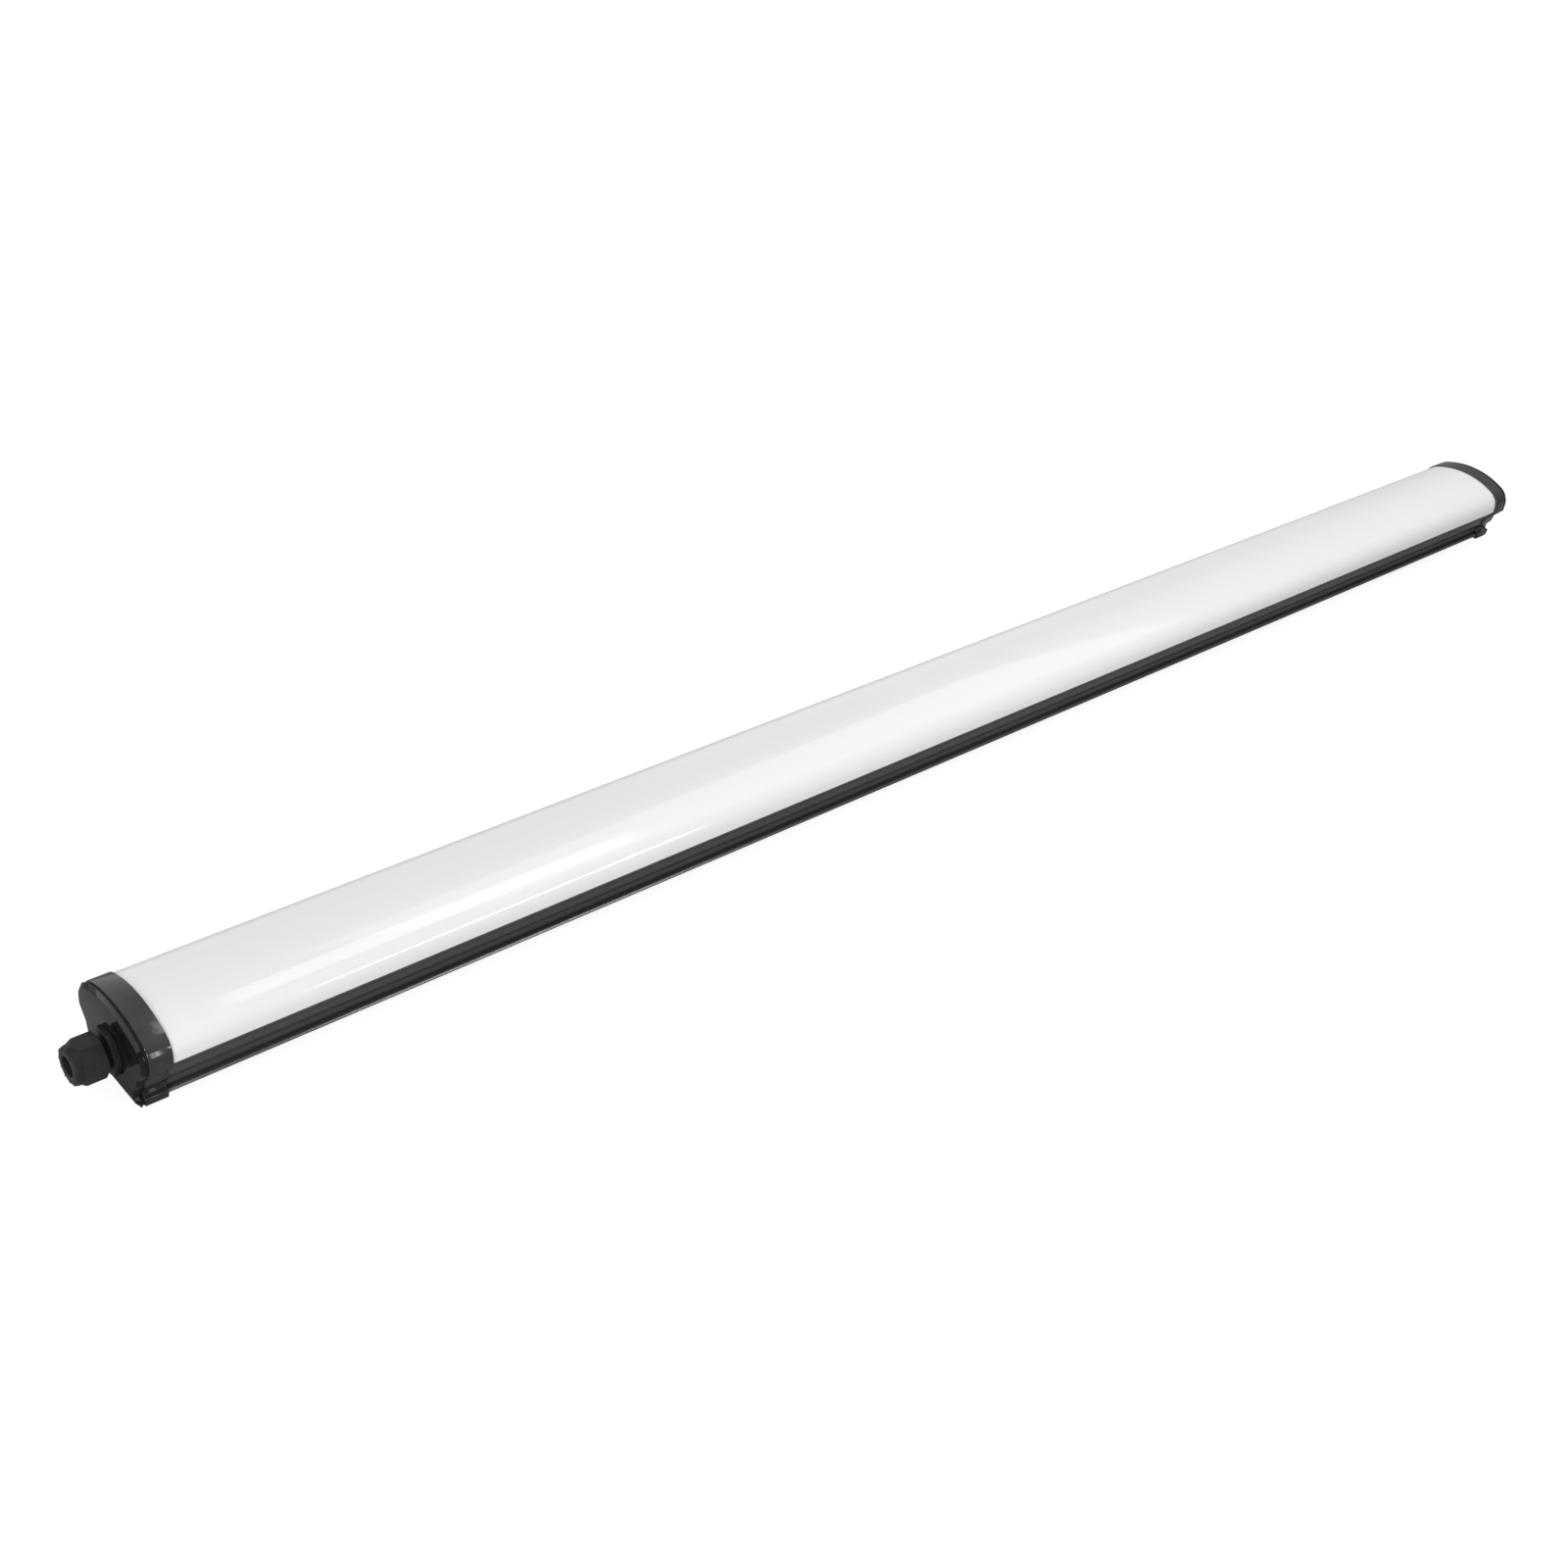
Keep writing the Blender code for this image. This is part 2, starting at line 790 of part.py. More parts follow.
gland_axis = bpy.data.objects.new("gland_axis", None)
bpy.context.scene.collection.objects.link(gland_axis)
gland_axis.location = (-half_length, 0, gland_height)
gland_axis.parent = fixture


def outwards(*profile):
    """A profile of (distance out from the end plate, radius) in the gland's own frame."""
    return [(-out, radius) for out, radius in profile]


def gland_cutter(name, profile):
    return turned_solid(name, outwards(*profile), gland_nylon, parent=gland_axis)


def make_gland_body():
    """Hexagon flange, threaded neck with clamping fingers, and the thread inside."""
    thread_tip = -(plate_rim + gland_thread_inside)
    recess = 2 * fit_gap + washer_thickness
    base_end = fit_gap + gland_base_thickness
    hexagon_base = hexagon(gland_base_flats, nut_turn)
    body = loft(
        "gland_body", [(-fit_gap, hexagon_base), (-base_end, hexagon_base)],
        gland_nylon, parent=gland_axis,
    )
    boolean(
        body,
        gland_cutter(
            "gland_washer_recess",
            [(-overrun, washer_outer_radius + fit_gap), (recess, washer_outer_radius + fit_gap)],
        ),
        "DIFFERENCE",
    )
    boolean(
        body,
        gland_cutter(
            "gland_barrel",
            [(thread_tip, gland_thread_radius - fit_gap),
             (thread_tip + fit_gap, gland_thread_radius),
             (recess + cut_overlap, gland_thread_radius), (recess + cut_overlap, neck_radius),
             (neck_end, neck_radius), (neck_end, claw_outer_radius),
             (claw_end, claw_outer_radius - fit_gap)],
        ),
        "UNION",
    )
    boolean(
        body,
        gland_cutter(
            "gland_bore",
            [(thread_tip - overrun, gland_bore_radius), (seal_seat_start, gland_bore_radius),
             (seal_seat_start, seal_seat_radius), (claw_end + overrun, seal_seat_radius)],
        ),
        "DIFFERENCE",
    )
    bm = bmesh.new()
    half_slot = claw_slot_width / 2
    for number in range(claw_count):
        turn = np.radians(nut_turn + 360 * number / claw_count)
        outward = np.array([np.cos(turn), np.sin(turn)])
        across = np.array([-np.sin(turn), np.cos(turn)])
        near, far = outward * gland_bore_radius, outward * (neck_radius + overrun)
        corners = [near - across * half_slot, near + across * half_slot]
        corners += [far + across * half_slot, far - across * half_slot]
        points = [(-neck_end, y, z) for y, z in corners]
        prism_into(bm, points, (-(claw_end - neck_end + overrun), 0, 0))
    slots = add_object("gland_claw_slots", bm, gland_nylon, parent=gland_axis)
    boolean(body, slots, "DIFFERENCE")


def make_gland_inner_parts():
    turned(
        "gland_washer",
        outwards(
            (fit_gap, washer_inner_radius), (fit_gap + washer_thickness, washer_inner_radius),
            (fit_gap + washer_thickness, washer_outer_radius), (fit_gap, washer_outer_radius),
        ),
        rubber, parent=gland_axis,
    )
    seal_outer = seal_seat_radius - fit_gap
    seal_start = seal_seat_start + fit_gap
    turned(
        "gland_seal",
        outwards(
            (seal_start, gland_seal_bore_radius), (claw_end, gland_seal_bore_radius),
            (claw_end, seal_outer), (seal_start, seal_outer),
        ),
        rubber, parent=gland_axis,
    )
    lock_from = plate_rim + fit_gap
    lock_to = lock_from + lock_nut_thickness
    hole = hole_at((0, 0), gland_thread_radius + running_gap, turn_steps)
    plate(
        "gland_lock_nut", hexagon(lock_nut_flats, 0), [hole], lock_from, lock_to,
        gland_nylon, parent=gland_axis,
    )


def make_slip_ring():
    """Thin ring that the dome nut pushes against the clamping fingers."""
    start = claw_end + fit_gap
    end = start + slip_ring_thickness
    turned(
        "slip_ring",
        outwards(
            (start, slip_ring_inner_radius), (end, slip_ring_inner_radius),
            (end, claw_outer_radius), (start, claw_outer_radius),
        ),
        steel, parent=gland_axis,
    )


def make_gland_nut():
    """Hexagon that a cone cuts off at both ends, with a ribbed nose and a threaded bore."""
    corner = nut_flats / np.sqrt(3)
    beyond = corner + fit_gap
    flat = nut_flats / 2
    outline = hexagon(nut_flats, nut_turn)
    nut = loft(
        "gland_nut", [(-nut_start + overrun, outline), (-nut_end - overrun, outline)],
        gland_nylon, parent=gland_axis,
    )
    nose_centre = nut_end - nut_nose_round
    nose = arc((nose_centre, nut_nose_radius - nut_nose_round), nut_nose_round, 90, 0, 4)
    envelope = [(nut_start, flat), (nut_start + nut_rear_chamfer, beyond)]
    envelope += [(nut_corner_end, beyond), (nut_flat_end, flat)]
    envelope += [tuple(point) for point in nose]
    boolean(nut, gland_cutter("gland_nut_envelope", envelope), "INTERSECT")
    bm = bmesh.new()
    rib_top = nut_nose_radius + nut_rib_height
    for number in range(nut_rib_count):
        turn = np.radians(nut_turn + 360 * (number + 0.5) / nut_rib_count)
        outward = np.array([np.cos(turn), np.sin(turn)])
        across = np.array([-np.sin(turn), np.cos(turn)]) * nut_rib_width / 2
        low = outward * (nut_nose_radius - nut_rib_height)
        high = outward * rib_top
        corners = [low - across, low + across, high + across, high - across]
        points = [(-nut_flat_end + cut_overlap, y, z) for y, z in corners]
        prism_into(bm, points, (-(nose_centre - nut_flat_end + cut_overlap), 0, 0))
    ribs = add_object("gland_nut_ribs", bm, gland_nylon, parent=gland_axis)
    boolean(nut, ribs, "UNION")
    thread = neck_radius + running_gap
    hollow = claw_outer_radius + running_gap
    shoulder = claw_end + 2 * fit_gap + slip_ring_thickness
    boolean(
        nut,
        gland_cutter(
            "gland_nut_bore",
            [(nut_start - overrun, thread), (nut_cone_start, thread),
             (nut_cone_start + thread - hollow, hollow), (shoulder, hollow),
             (shoulder, nut_mouth_radius), (nut_end + overrun, nut_mouth_radius)],
        ),
        "DIFFERENCE",
    )


# Gear tray, boards, driver, terminal block and leads, all carried by the tray


def board_centres():
    return [(number - (board_count - 1) / 2) * board_pitch for number in range(board_count)]


def board_screw_places():
    reach = board_length / 2 - board_screw_inset
    return [
        (centre + hand * reach, -board_width / 2 + board_screw_inset / 2)
        for centre in board_centres()
        for hand in (-1, 1)
    ]


driver_x = driver_start - half_length
terminal_x = terminal_start - half_length
earth_x = terminal_x + terminal_length + earth_distance
driver_screw_places = [
    (driver_x - driver_ear_length / 2, 0),
    (driver_x + driver_length + driver_ear_length / 2, 0),
]
terminal_screw_place = (terminal_x + terminal_length / 4, terminal_pitch / 2)
lead_hole_places = [(0, -lead_hole_offset), (0, -lead_hole_offset - lead_hole_spacing)]


def through_tray(thickness):
    """Length of a screw through a seated piece, with its tip flush with the tray's far side."""
    return thickness + 2 * fit_gap + tray_thickness


def make_tray():
    side = (
        body_half_width - lens_wall - lens_flange_reach - fit_gap - hook_rib
        + tray_slot_depth - fit_gap
    )
    shank = board_screw_shank_radius + fit_gap
    places = board_screw_places() + driver_screw_places
    places += [terminal_screw_place, (earth_x, 0)]
    holes = [hole_at(place, shank, screw_sides) for place in places]
    holes += [hole_at(place, lead_hole_radius, screw_sides) for place in lead_hole_places]
    outline = np.array(
        [(tray_half_length, -side), (tray_half_length, side),
         (-tray_half_length, side), (-tray_half_length, -side)]
    )
    slab("gear_tray", outline, holes, tray_bottom, tray_top, white_sheet)


def make_boards():
    """White boards with their packages fused on, in a row on the tray."""
    bottom = tray_top + fit_gap
    half_board, half_width = board_length / 2, board_width / 2
    outline = np.array(
        [(half_board, -half_width), (half_board, half_width),
         (-half_board, half_width), (-half_board, -half_width)]
    )
    hole_y = -half_width + board_screw_inset / 2
    hole_x = half_board - board_screw_inset
    shank = board_screw_shank_radius + fit_gap
    holes = [hole_at((hand * hole_x, hole_y), shank, screw_sides) for hand in (-1, 1)]
    first, *others = enumerate(board_centres(), start=1)
    board = slab(
        f"led_board_{first[0]}", outline, holes, 0, board_thickness, board_white,
        location=(first[1], 0, bottom),
    )
    bm = bmesh.new()
    pitch = board_length / led_count
    for number in range(led_count):
        x = (number - (led_count - 1) / 2) * pitch
        block_into(
            bm, (x - led_length / 2, -led_width / 2, board_thickness - cut_overlap),
            (x + led_length / 2, led_width / 2, board_thickness + led_height),
        )
    packages = add_object("led_packages", bm, board_white, location=board.location)
    boolean(board, packages, "UNION")
    apply_modifiers(board)
    for number, centre in others:
        add_copy(board, f"led_board_{number}", (centre, 0, bottom))


def make_board_screws():
    seat = tray_top + 2 * fit_gap + board_thickness
    first, *others = enumerate(board_screw_places(), start=1)
    number, (x, y) = first
    screw = make_screw(
        f"board_screw_{number}", board_screw_head_radius, board_screw_head_height,
        board_screw_shank_radius, through_tray(board_thickness), location=(x, y, seat),
        rotation=(0, np.pi / 2, 0),
    )
    for number, (x, y) in others:
        add_copy(screw, f"board_screw_{number}", (x, y, seat))


def make_board_links():
    """Bridges from board to board, clear of the packages."""
    low = tray_top + 2 * fit_gap + board_thickness
    y = board_width / 4
    reach = board_spacing / 2 + link_reach
    centres = board_centres()
    first = None
    for number, (left, right) in enumerate(zip(centres, centres[1:]), start=1):
        x = (left + right) / 2
        if first is None:
            first = block(
                f"board_link_{number}", (-reach, -link_width / 2, 0),
                (reach, link_width / 2, link_height), terminal_plastic,
                location=(x, y, low),
            )
        else:
            add_copy(first, f"board_link_{number}", (x, y, low))


def make_driver():
    """Slim case open below, its board and its lid, with an ear and a screw at each end."""
    top = tray_bottom - fit_gap
    half = driver_width / 2
    end = driver_x + driver_length
    ear_bottom = top - driver_ear_thickness
    case_bottom = top - driver_height
    case = block("driver_case", (driver_x, -half, case_bottom), (end, half, top), driver_plastic)
    inner_top = top - driver_wall
    hollow = block(
        "driver_hollow",
        (driver_x + driver_wall, -half + driver_wall, case_bottom - overrun),
        (end - driver_wall, half - driver_wall, inner_top), driver_plastic,
    )
    boolean(case, hollow, "DIFFERENCE")
    ears = bmesh.new()
    for low, high in (
        (driver_x - driver_ear_length, driver_x + cut_overlap),
        (end - cut_overlap, end + driver_ear_length),
    ):
        block_into(
            ears, (low, -driver_ear_length / 2, ear_bottom), (high, driver_ear_length / 2, top)
        )
    boolean(case, add_object("driver_ears", ears, driver_plastic), "UNION")
    shank = board_screw_shank_radius + fit_gap
    bm = bmesh.new()
    for x, y in driver_screw_places:
        upright_into(bm, (x, y), shank, ear_bottom - overrun, top + overrun)
    boolean(case, add_object("driver_ear_holes", bm, driver_plastic), "DIFFERENCE")
    clear = driver_wall + fit_gap
    board_top = inner_top - fit_gap - driver_part_height
    board = block(
        "driver_board", (driver_x + clear, -half + clear, board_top - board_thickness),
        (end - clear, half - clear, board_top), board_white,
    )
    parts = bmesh.new()
    length = driver_length / (2 * driver_part_count + 1)
    for number in range(driver_part_count):
        x = driver_x + length * (2 * number + 1)
        block_into(
            parts, (x, -half / 2, board_top - cut_overlap),
            (x + length, half / 2, board_top + driver_part_height),
        )
    boolean(board, add_object("driver_parts", parts, board_white), "UNION")
    lid_top = case_bottom - fit_gap
    block(
        "driver_lid", (driver_x, -half, lid_top - driver_lid_thickness), (end, half, lid_top),
        driver_plastic,
    )
    for number, (x, y) in enumerate(driver_screw_places, start=1):
        make_screw(
            f"driver_screw_{number}", board_screw_head_radius, board_screw_head_height,
            board_screw_shank_radius, through_tray(driver_ear_thickness),
            location=(x, y, ear_bottom - fit_gap), rotation=(0, -np.pi / 2, 0),
        )


def make_terminal_block():
    """Three ways side by side, each with a wire hole and a clamp screw from below."""
    top = tray_bottom - fit_gap
    bottom = top - terminal_height
    end = terminal_x + terminal_length
    half = terminal_ways * terminal_pitch / 2 + terminal_side
    body = block("terminal_block", (terminal_x, -half, bottom), (end, half, top), terminal_plastic)
    wire_height = top - terminal_height / 3
    ways = [(number - (terminal_ways - 1) / 2) * terminal_pitch for number in range(terminal_ways)]
    bm = bmesh.new()
    for y in ways:
        turned_solid_into(
            bm, [(terminal_x - overrun, wire_hole_radius), (end + overrun, wire_hole_radius)],
            screw_sides, (y, wire_height),
        )
    boolean(body, add_object("terminal_wire_holes", bm, terminal_plastic), "DIFFERENCE")
    bm = bmesh.new()
    middle = terminal_x + terminal_length / 2
    well = clamp_screw_radius + fit_gap
    for y in ways:
        upright_into(bm, (middle, y), well, bottom - overrun, bottom + clamp_screw_length + fit_gap)
    upright_into(
        bm, terminal_screw_place, board_screw_shank_radius + fit_gap,
        bottom - overrun, top + overrun,
    )
    boolean(body, add_object("terminal_wells", bm, terminal_plastic), "DIFFERENCE")
    for number, y in enumerate(ways, start=1):
        bm = bmesh.new()
        upright_into(bm, (0, 0), clamp_screw_radius, 0, clamp_screw_length)
        add_object(
            f"clamp_screw_{number}", bm, steel, location=(middle, y, bottom)
        )
    make_screw(
        "terminal_fixing_screw", board_screw_head_radius, board_screw_head_height,
        board_screw_shank_radius, through_tray(terminal_height),
        location=(*terminal_screw_place, bottom - fit_gap), rotation=(0, -np.pi / 2, 0),
    )
    return ways, wire_height


def make_earth_tag():
    top = tray_bottom - fit_gap
    bottom = top - earth_tag_thickness
    ring = arc((earth_x, 0), earth_tag_radius, -150, 150, screw_sides)
    tail = earth_tag_radius * np.sin(np.radians(30))
    tip = earth_x - earth_tag_radius - earth_tag_tail
    outline = np.concatenate([ring, [(tip, tail), (tip, -tail)]])
    hole = hole_at((earth_x, 0), board_screw_shank_radius + fit_gap, screw_sides)
    slab("earth_tag", outline, [hole], bottom, top, steel)
    make_screw(
        "earth_screw", board_screw_head_radius, board_screw_head_height,
        board_screw_shank_radius, through_tray(earth_tag_thickness),
        location=(earth_x, 0, bottom - fit_gap), rotation=(0, -np.pi / 2, 0),
    )
    return tip


def make_lead(name, route, material):
    """An insulated wire along a smooth curve through the route's points."""
    route = np.array(route)
    before = np.concatenate([[2 * route[0] - route[1]], route, [2 * route[-1] - route[-2]]])
    points = [route[0]]
    for a, b, c, d in zip(before, before[1:], before[2:], before[3:]):
        run = np.linalg.norm(c - b)
        leaving = run * (c - a) / np.linalg.norm(c - a)
        arriving = run * (d - b) / np.linalg.norm(d - b)
        count = max(2, int(run / lead_point_spacing))
        for t in np.linspace(0, 1, count + 1)[1:]:
            from_b = b + (c - b) * t * t * (3 - 2 * t)
            points.append(from_b + leaving * t * (1 - t) ** 2 - arriving * (1 - t) * t * t)
    curve = bpy.data.curves.new(name, "CURVE")
    curve.dimensions = "3D"
    curve.bevel_depth = lead_radius
    curve.bevel_resolution = lead_bevel_resolution
    curve.use_fill_caps = True
    spline = curve.splines.new("POLY")
    spline.points.add(len(points) - 1)
    for point, place in zip(spline.points, points):
        point.co = (*place, 1.0)
    curve.materials.append(material)
    obj = bpy.data.objects.new(name, curve)
    bpy.context.scene.collection.objects.link(obj)
    obj.parent = fixture


def make_leads(ways, wire_height, tag_tip):
    start = terminal_x + terminal_length / 2 + clamp_screw_radius
    entry = driver_x - fit_gap
    driver_mid = tray_bottom - fit_gap - driver_height / 2
    halfway = (terminal_x + terminal_length + driver_x) / 2
    for name, y, entry_y, material in (
        ("lead_live", ways[0], -driver_lead_offset, brown_insulation),
        ("lead_neutral", ways[-1], driver_lead_offset, blue_insulation),
    ):
        route = [
            (start, y, wire_height),
            (terminal_x + terminal_length + 4 * lead_radius, y, wire_height),
            (halfway, (y + entry_y) / 2, (wire_height + driver_mid) / 2),
            (entry - 4 * lead_radius, entry_y, driver_mid),
            (entry, entry_y, driver_mid),
        ]
        make_lead(name, route, material)
    tag_bottom = tray_bottom - 2 * fit_gap - earth_tag_thickness
    under_tag = tag_bottom - lead_radius
    make_lead(
        "lead_earth",
        [
            (start, ways[1], wire_height),
            (terminal_x + terminal_length + 2 * lead_radius, ways[1], wire_height),
            (tag_tip - 2 * lead_radius, 0, under_tag),
            (tag_tip + earth_tag_tail, 0, under_tag),
        ],
        earth_insulation,
    )
    exit_x = driver_x + driver_length + fit_gap
    pad_height = tray_top + 2 * fit_gap + board_thickness + lead_radius
    bend = 4 * lead_radius
    under_tray = tray_bottom - lead_radius - fit_gap
    for name, (hole_x, hole_y), exit_y, material in (
        ("lead_plus", lead_hole_places[0], driver_lead_offset, red_insulation),
        ("lead_minus", lead_hole_places[1], -driver_lead_offset, black_insulation),
    ):
        route = [
            (exit_x, exit_y, driver_mid),
            (exit_x + bend, exit_y, driver_mid),
            (exit_x + 4 * bend, hole_y, under_tray - bend),
            (hole_x - 3 * bend, hole_y, under_tray - bend),
            (hole_x - bend / 2, hole_y, under_tray - bend / 2),
            (hole_x, hole_y, tray_bottom + tray_thickness / 2),
            (hole_x + bend / 2, hole_y, pad_height),
            (hole_x + 2 * bend, hole_y, pad_height),
        ]
        make_lead(name, route, material)


# Building the fixture

make_body()
make_lens()
for end, side in (("near", -1), ("far", 1)):
    make_collar(end, side)
    make_end_seal(end, side)
    make_gasket(end, side)
    cover = make_end_plate(end, side)
    make_end_screws(end, side)
    if end == "near":
        hole = turned_solid(
            "gland_hole",
            [(-half_length - overrun, gland_thread_radius + fit_gap),
             (-half_length + plate_rim + overrun, gland_thread_radius + fit_gap)],
            black_moulding, location=(0, 0, gland_height),
        )
        boolean(cover, hole, "DIFFERENCE")
make_gland_body()
make_gland_inner_parts()
make_slip_ring()
make_gland_nut()
make_tray()
make_boards()
make_board_screws()
make_board_links()
make_driver()
ways, wire_height = make_terminal_block()
tag_tip = make_earth_tag()
make_leads(ways, wire_height, tag_tip)
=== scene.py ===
import bmesh
import bpy
import numpy as np
from mathutils import Matrix, Vector
from mathutils.geometry import tessellate_polygon


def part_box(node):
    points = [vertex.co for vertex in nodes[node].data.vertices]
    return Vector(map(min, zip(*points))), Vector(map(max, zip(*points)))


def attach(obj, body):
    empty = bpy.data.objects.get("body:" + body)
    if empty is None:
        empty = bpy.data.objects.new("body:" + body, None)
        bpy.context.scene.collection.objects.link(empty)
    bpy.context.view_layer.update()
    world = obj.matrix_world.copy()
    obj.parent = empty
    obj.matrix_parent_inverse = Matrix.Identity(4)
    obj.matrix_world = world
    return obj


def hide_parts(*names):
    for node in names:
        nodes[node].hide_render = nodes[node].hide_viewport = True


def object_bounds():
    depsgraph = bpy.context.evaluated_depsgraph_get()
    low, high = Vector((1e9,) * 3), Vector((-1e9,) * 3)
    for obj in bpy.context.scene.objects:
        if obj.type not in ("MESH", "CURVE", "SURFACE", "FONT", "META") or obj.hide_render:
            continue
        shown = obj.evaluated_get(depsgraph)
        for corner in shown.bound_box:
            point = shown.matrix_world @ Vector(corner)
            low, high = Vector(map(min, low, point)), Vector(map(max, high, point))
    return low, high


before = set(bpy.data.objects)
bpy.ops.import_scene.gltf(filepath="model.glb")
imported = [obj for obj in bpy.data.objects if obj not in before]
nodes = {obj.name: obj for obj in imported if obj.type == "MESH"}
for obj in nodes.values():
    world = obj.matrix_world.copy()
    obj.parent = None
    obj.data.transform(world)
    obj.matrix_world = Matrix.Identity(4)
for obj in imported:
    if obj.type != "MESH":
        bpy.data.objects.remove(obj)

cad_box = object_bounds()

# The camera stands in front of the gland end, above the fixture and a little tilted, and
# looks down along it. The photograph is taken as 1600 pixels square.

image_width = 1600
half_pixel = 0.5 / image_width
focal_length = 2148.6  # in the same pixels
camera_place = np.array([-0.9221, -0.7588, 0.7460])
camera_yaw = np.radians(44.663)
camera_pitch = np.radians(34.252)
camera_roll = np.radians(7.436)


def aim_camera():
    """Axes from yaw about Z, pitch below the horizon, then roll about the line of sight."""
    forward = np.array([
        np.cos(camera_yaw) * np.cos(camera_pitch),
        np.sin(camera_yaw) * np.cos(camera_pitch),
        -np.sin(camera_pitch),
    ])
    level = np.array([np.sin(camera_yaw), -np.cos(camera_yaw), 0.0])
    upright = np.cross(level, forward)
    right = np.cos(camera_roll) * level + np.sin(camera_roll) * upright
    up = np.cross(right, forward)
    matrix = np.eye(4)
    matrix[:3, 0], matrix[:3, 1], matrix[:3, 2] = right, up, -forward
    matrix[:3, 3] = camera_place
    data = bpy.data.cameras.new("camera")
    data.sensor_fit = "HORIZONTAL"
    data.lens = focal_length / image_width * data.sensor_width
    data.shift_x, data.shift_y = -half_pixel, half_pixel
    data.clip_start = 0.01
    camera = bpy.data.objects.new("camera", data)
    bpy.context.scene.collection.objects.link(camera)
    camera.matrix_world = Matrix(matrix.tolist())
    bpy.context.scene.camera = camera


aim_camera()

# The body is a black anodised extrusion, open at the top, with a stepped outside, a groove
# for the mounting clips above its lower flange, and slots inside for lens and gear tray.

flange_half_width = 0.0261
flange_thickness = 0.0019
groove_height = 0.0010
groove_half_width = 0.0210
waist_half_width = 0.0232
lower_face_half_width = 0.0235
lower_face_top = 0.0070
middle_half_width = 0.0265
middle_bottom = 0.0115
middle_top_half_width = 0.0277
middle_top = 0.0167
body_half_width = 0.03375
shoulder_bottom = 0.0240
seam_height = 0.0250
body_wall = 0.0018
body_half_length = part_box("body")[1][0]
corner_steps = 5
flange_slope_in = 0.0007
flange_slope_low = 0.0007
flange_slope_radii = (0.0004, 0.0007, 0.0006)
fine_edge = 0.00030
soft_edge = 0.00050
broad_edge = 0.0012
flowing_edge = 0.0040
hair = 1e-9  # keeps divisions from zero
weld_distance = 1e-7
smallest_radius = 1e-7  # a corner with less stays sharp
crease_angle = 32.0  # degrees, beyond which an edge is drawn sharp
noise_low, noise_high = 0.3, 0.7  # where a noise texture mostly lies


def outward_offset(corners, distance):
    """Each side moves out by distance, so a corner moves along the sum of its two normals."""
    along = np.roll(corners, -1, axis=0) - corners
    along /= np.linalg.norm(along, axis=1)[:, None]
    normal = np.column_stack([along[:, 1], -along[:, 0]])
    before = np.roll(normal, 1, axis=0)
    return corners + distance * (normal + before) / (1 + (normal * before).sum(axis=1))[:, None]


def rounded(corners, radii):
    """Each corner with a radius turns into an arc: its centre lies on the bisector, at the
    radius over the sine of half the corner, and the arc swings from one side to the other."""
    back = np.roll(corners, 1, axis=0) - corners
    ahead = np.roll(corners, -1, axis=0) - corners
    back /= np.linalg.norm(back, axis=1)[:, None]
    ahead /= np.linalg.norm(ahead, axis=1)[:, None]
    half = np.arccos(np.clip((back * ahead).sum(axis=1), -1, 1)) / 2
    bisector = back + ahead
    bisector /= np.maximum(np.linalg.norm(bisector, axis=1), hair)[:, None]
    centre = corners + bisector * (radii / np.sin(half))[:, None]
    reach = (radii / np.tan(half))[:, None]
    first = corners + back * reach - centre
    last = corners + ahead * reach - centre
    sweep = np.maximum(np.pi - 2 * half, 1e-6)[:, None]
    share = np.linspace(0, 1, corner_steps + 1)
    from_first = np.sin((1 - share) * sweep) / np.sin(sweep)
    from_last = np.sin(share * sweep) / np.sin(sweep)
    points = centre[:, None] + from_first[..., None] * first[:, None]
    points += from_last[..., None] * last[:, None]
    sharp = radii < smallest_radius
    points[sharp] = corners[sharp][:, None]
    kept = ~sharp[:, None] | (np.arange(corner_steps + 1) == 0)
    return points[kept]


def both_sides(half):
    """The +Y half from the bottom up, then its mirror image from the top down."""
    mirror = half[::-1] * np.array([-1] + [1] * (half.shape[1] - 1))
    on_middle = abs(half[-1, 0]) < hair
    return np.concatenate([half, mirror[1:] if on_middle else mirror])


def across_at(x, outline):
    """A ring of points at one place along the fixture, from an outline in (y, z)."""
    return np.column_stack([np.full(len(outline), x), outline])


def grid_faces(rows, columns, first):
    """Quads of a grid of rings that close on themselves."""
    row, column = np.meshgrid(np.arange(rows - 1), np.arange(columns), indexing="ij")
    along = (column + 1) % columns
    corners = [row * columns + column, row * columns + along]
    corners += [(row + 1) * columns + along, (row + 1) * columns + column]
    return first + np.stack(corners, axis=-1).reshape(-1, 4)


def solid(name, skins, flats, body, material, sharp=crease_angle):
    """One closed piece: skins are stacks of rings, and flats are plane areas between loops."""
    points, faces, count = [], [], 0
    for rings in skins:
        rings = np.asarray(rings)
        points.append(rings.reshape(-1, 3))
        faces += grid_faces(rings.shape[0], rings.shape[1], count).tolist()
        count += rings.shape[0] * rings.shape[1]
    for loops in flats:
        triangles = tessellate_polygon([[Vector(p) for p in loop] for loop in loops])
        faces += (np.array(triangles) + count).tolist()
        points.append(np.concatenate(loops))
        count += sum(len(loop) for loop in loops)
    mesh = bpy.data.meshes.new(name)
    mesh.from_pydata(np.concatenate(points).tolist(), [], faces)
    bm = bmesh.new()
    bm.from_mesh(mesh)
    bmesh.ops.remove_doubles(bm, verts=bm.verts, dist=weld_distance)
    bmesh.ops.recalc_face_normals(bm, faces=bm.faces)
    bm.to_mesh(mesh)
    bm.free()
    mesh.materials.append(material)
    mesh.shade_smooth()
    mesh.set_sharp_from_angle(angle=np.radians(sharp))
    piece = bpy.data.objects.new(name, mesh)
    bpy.context.scene.collection.objects.link(piece)
    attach(piece, body)
    return piece


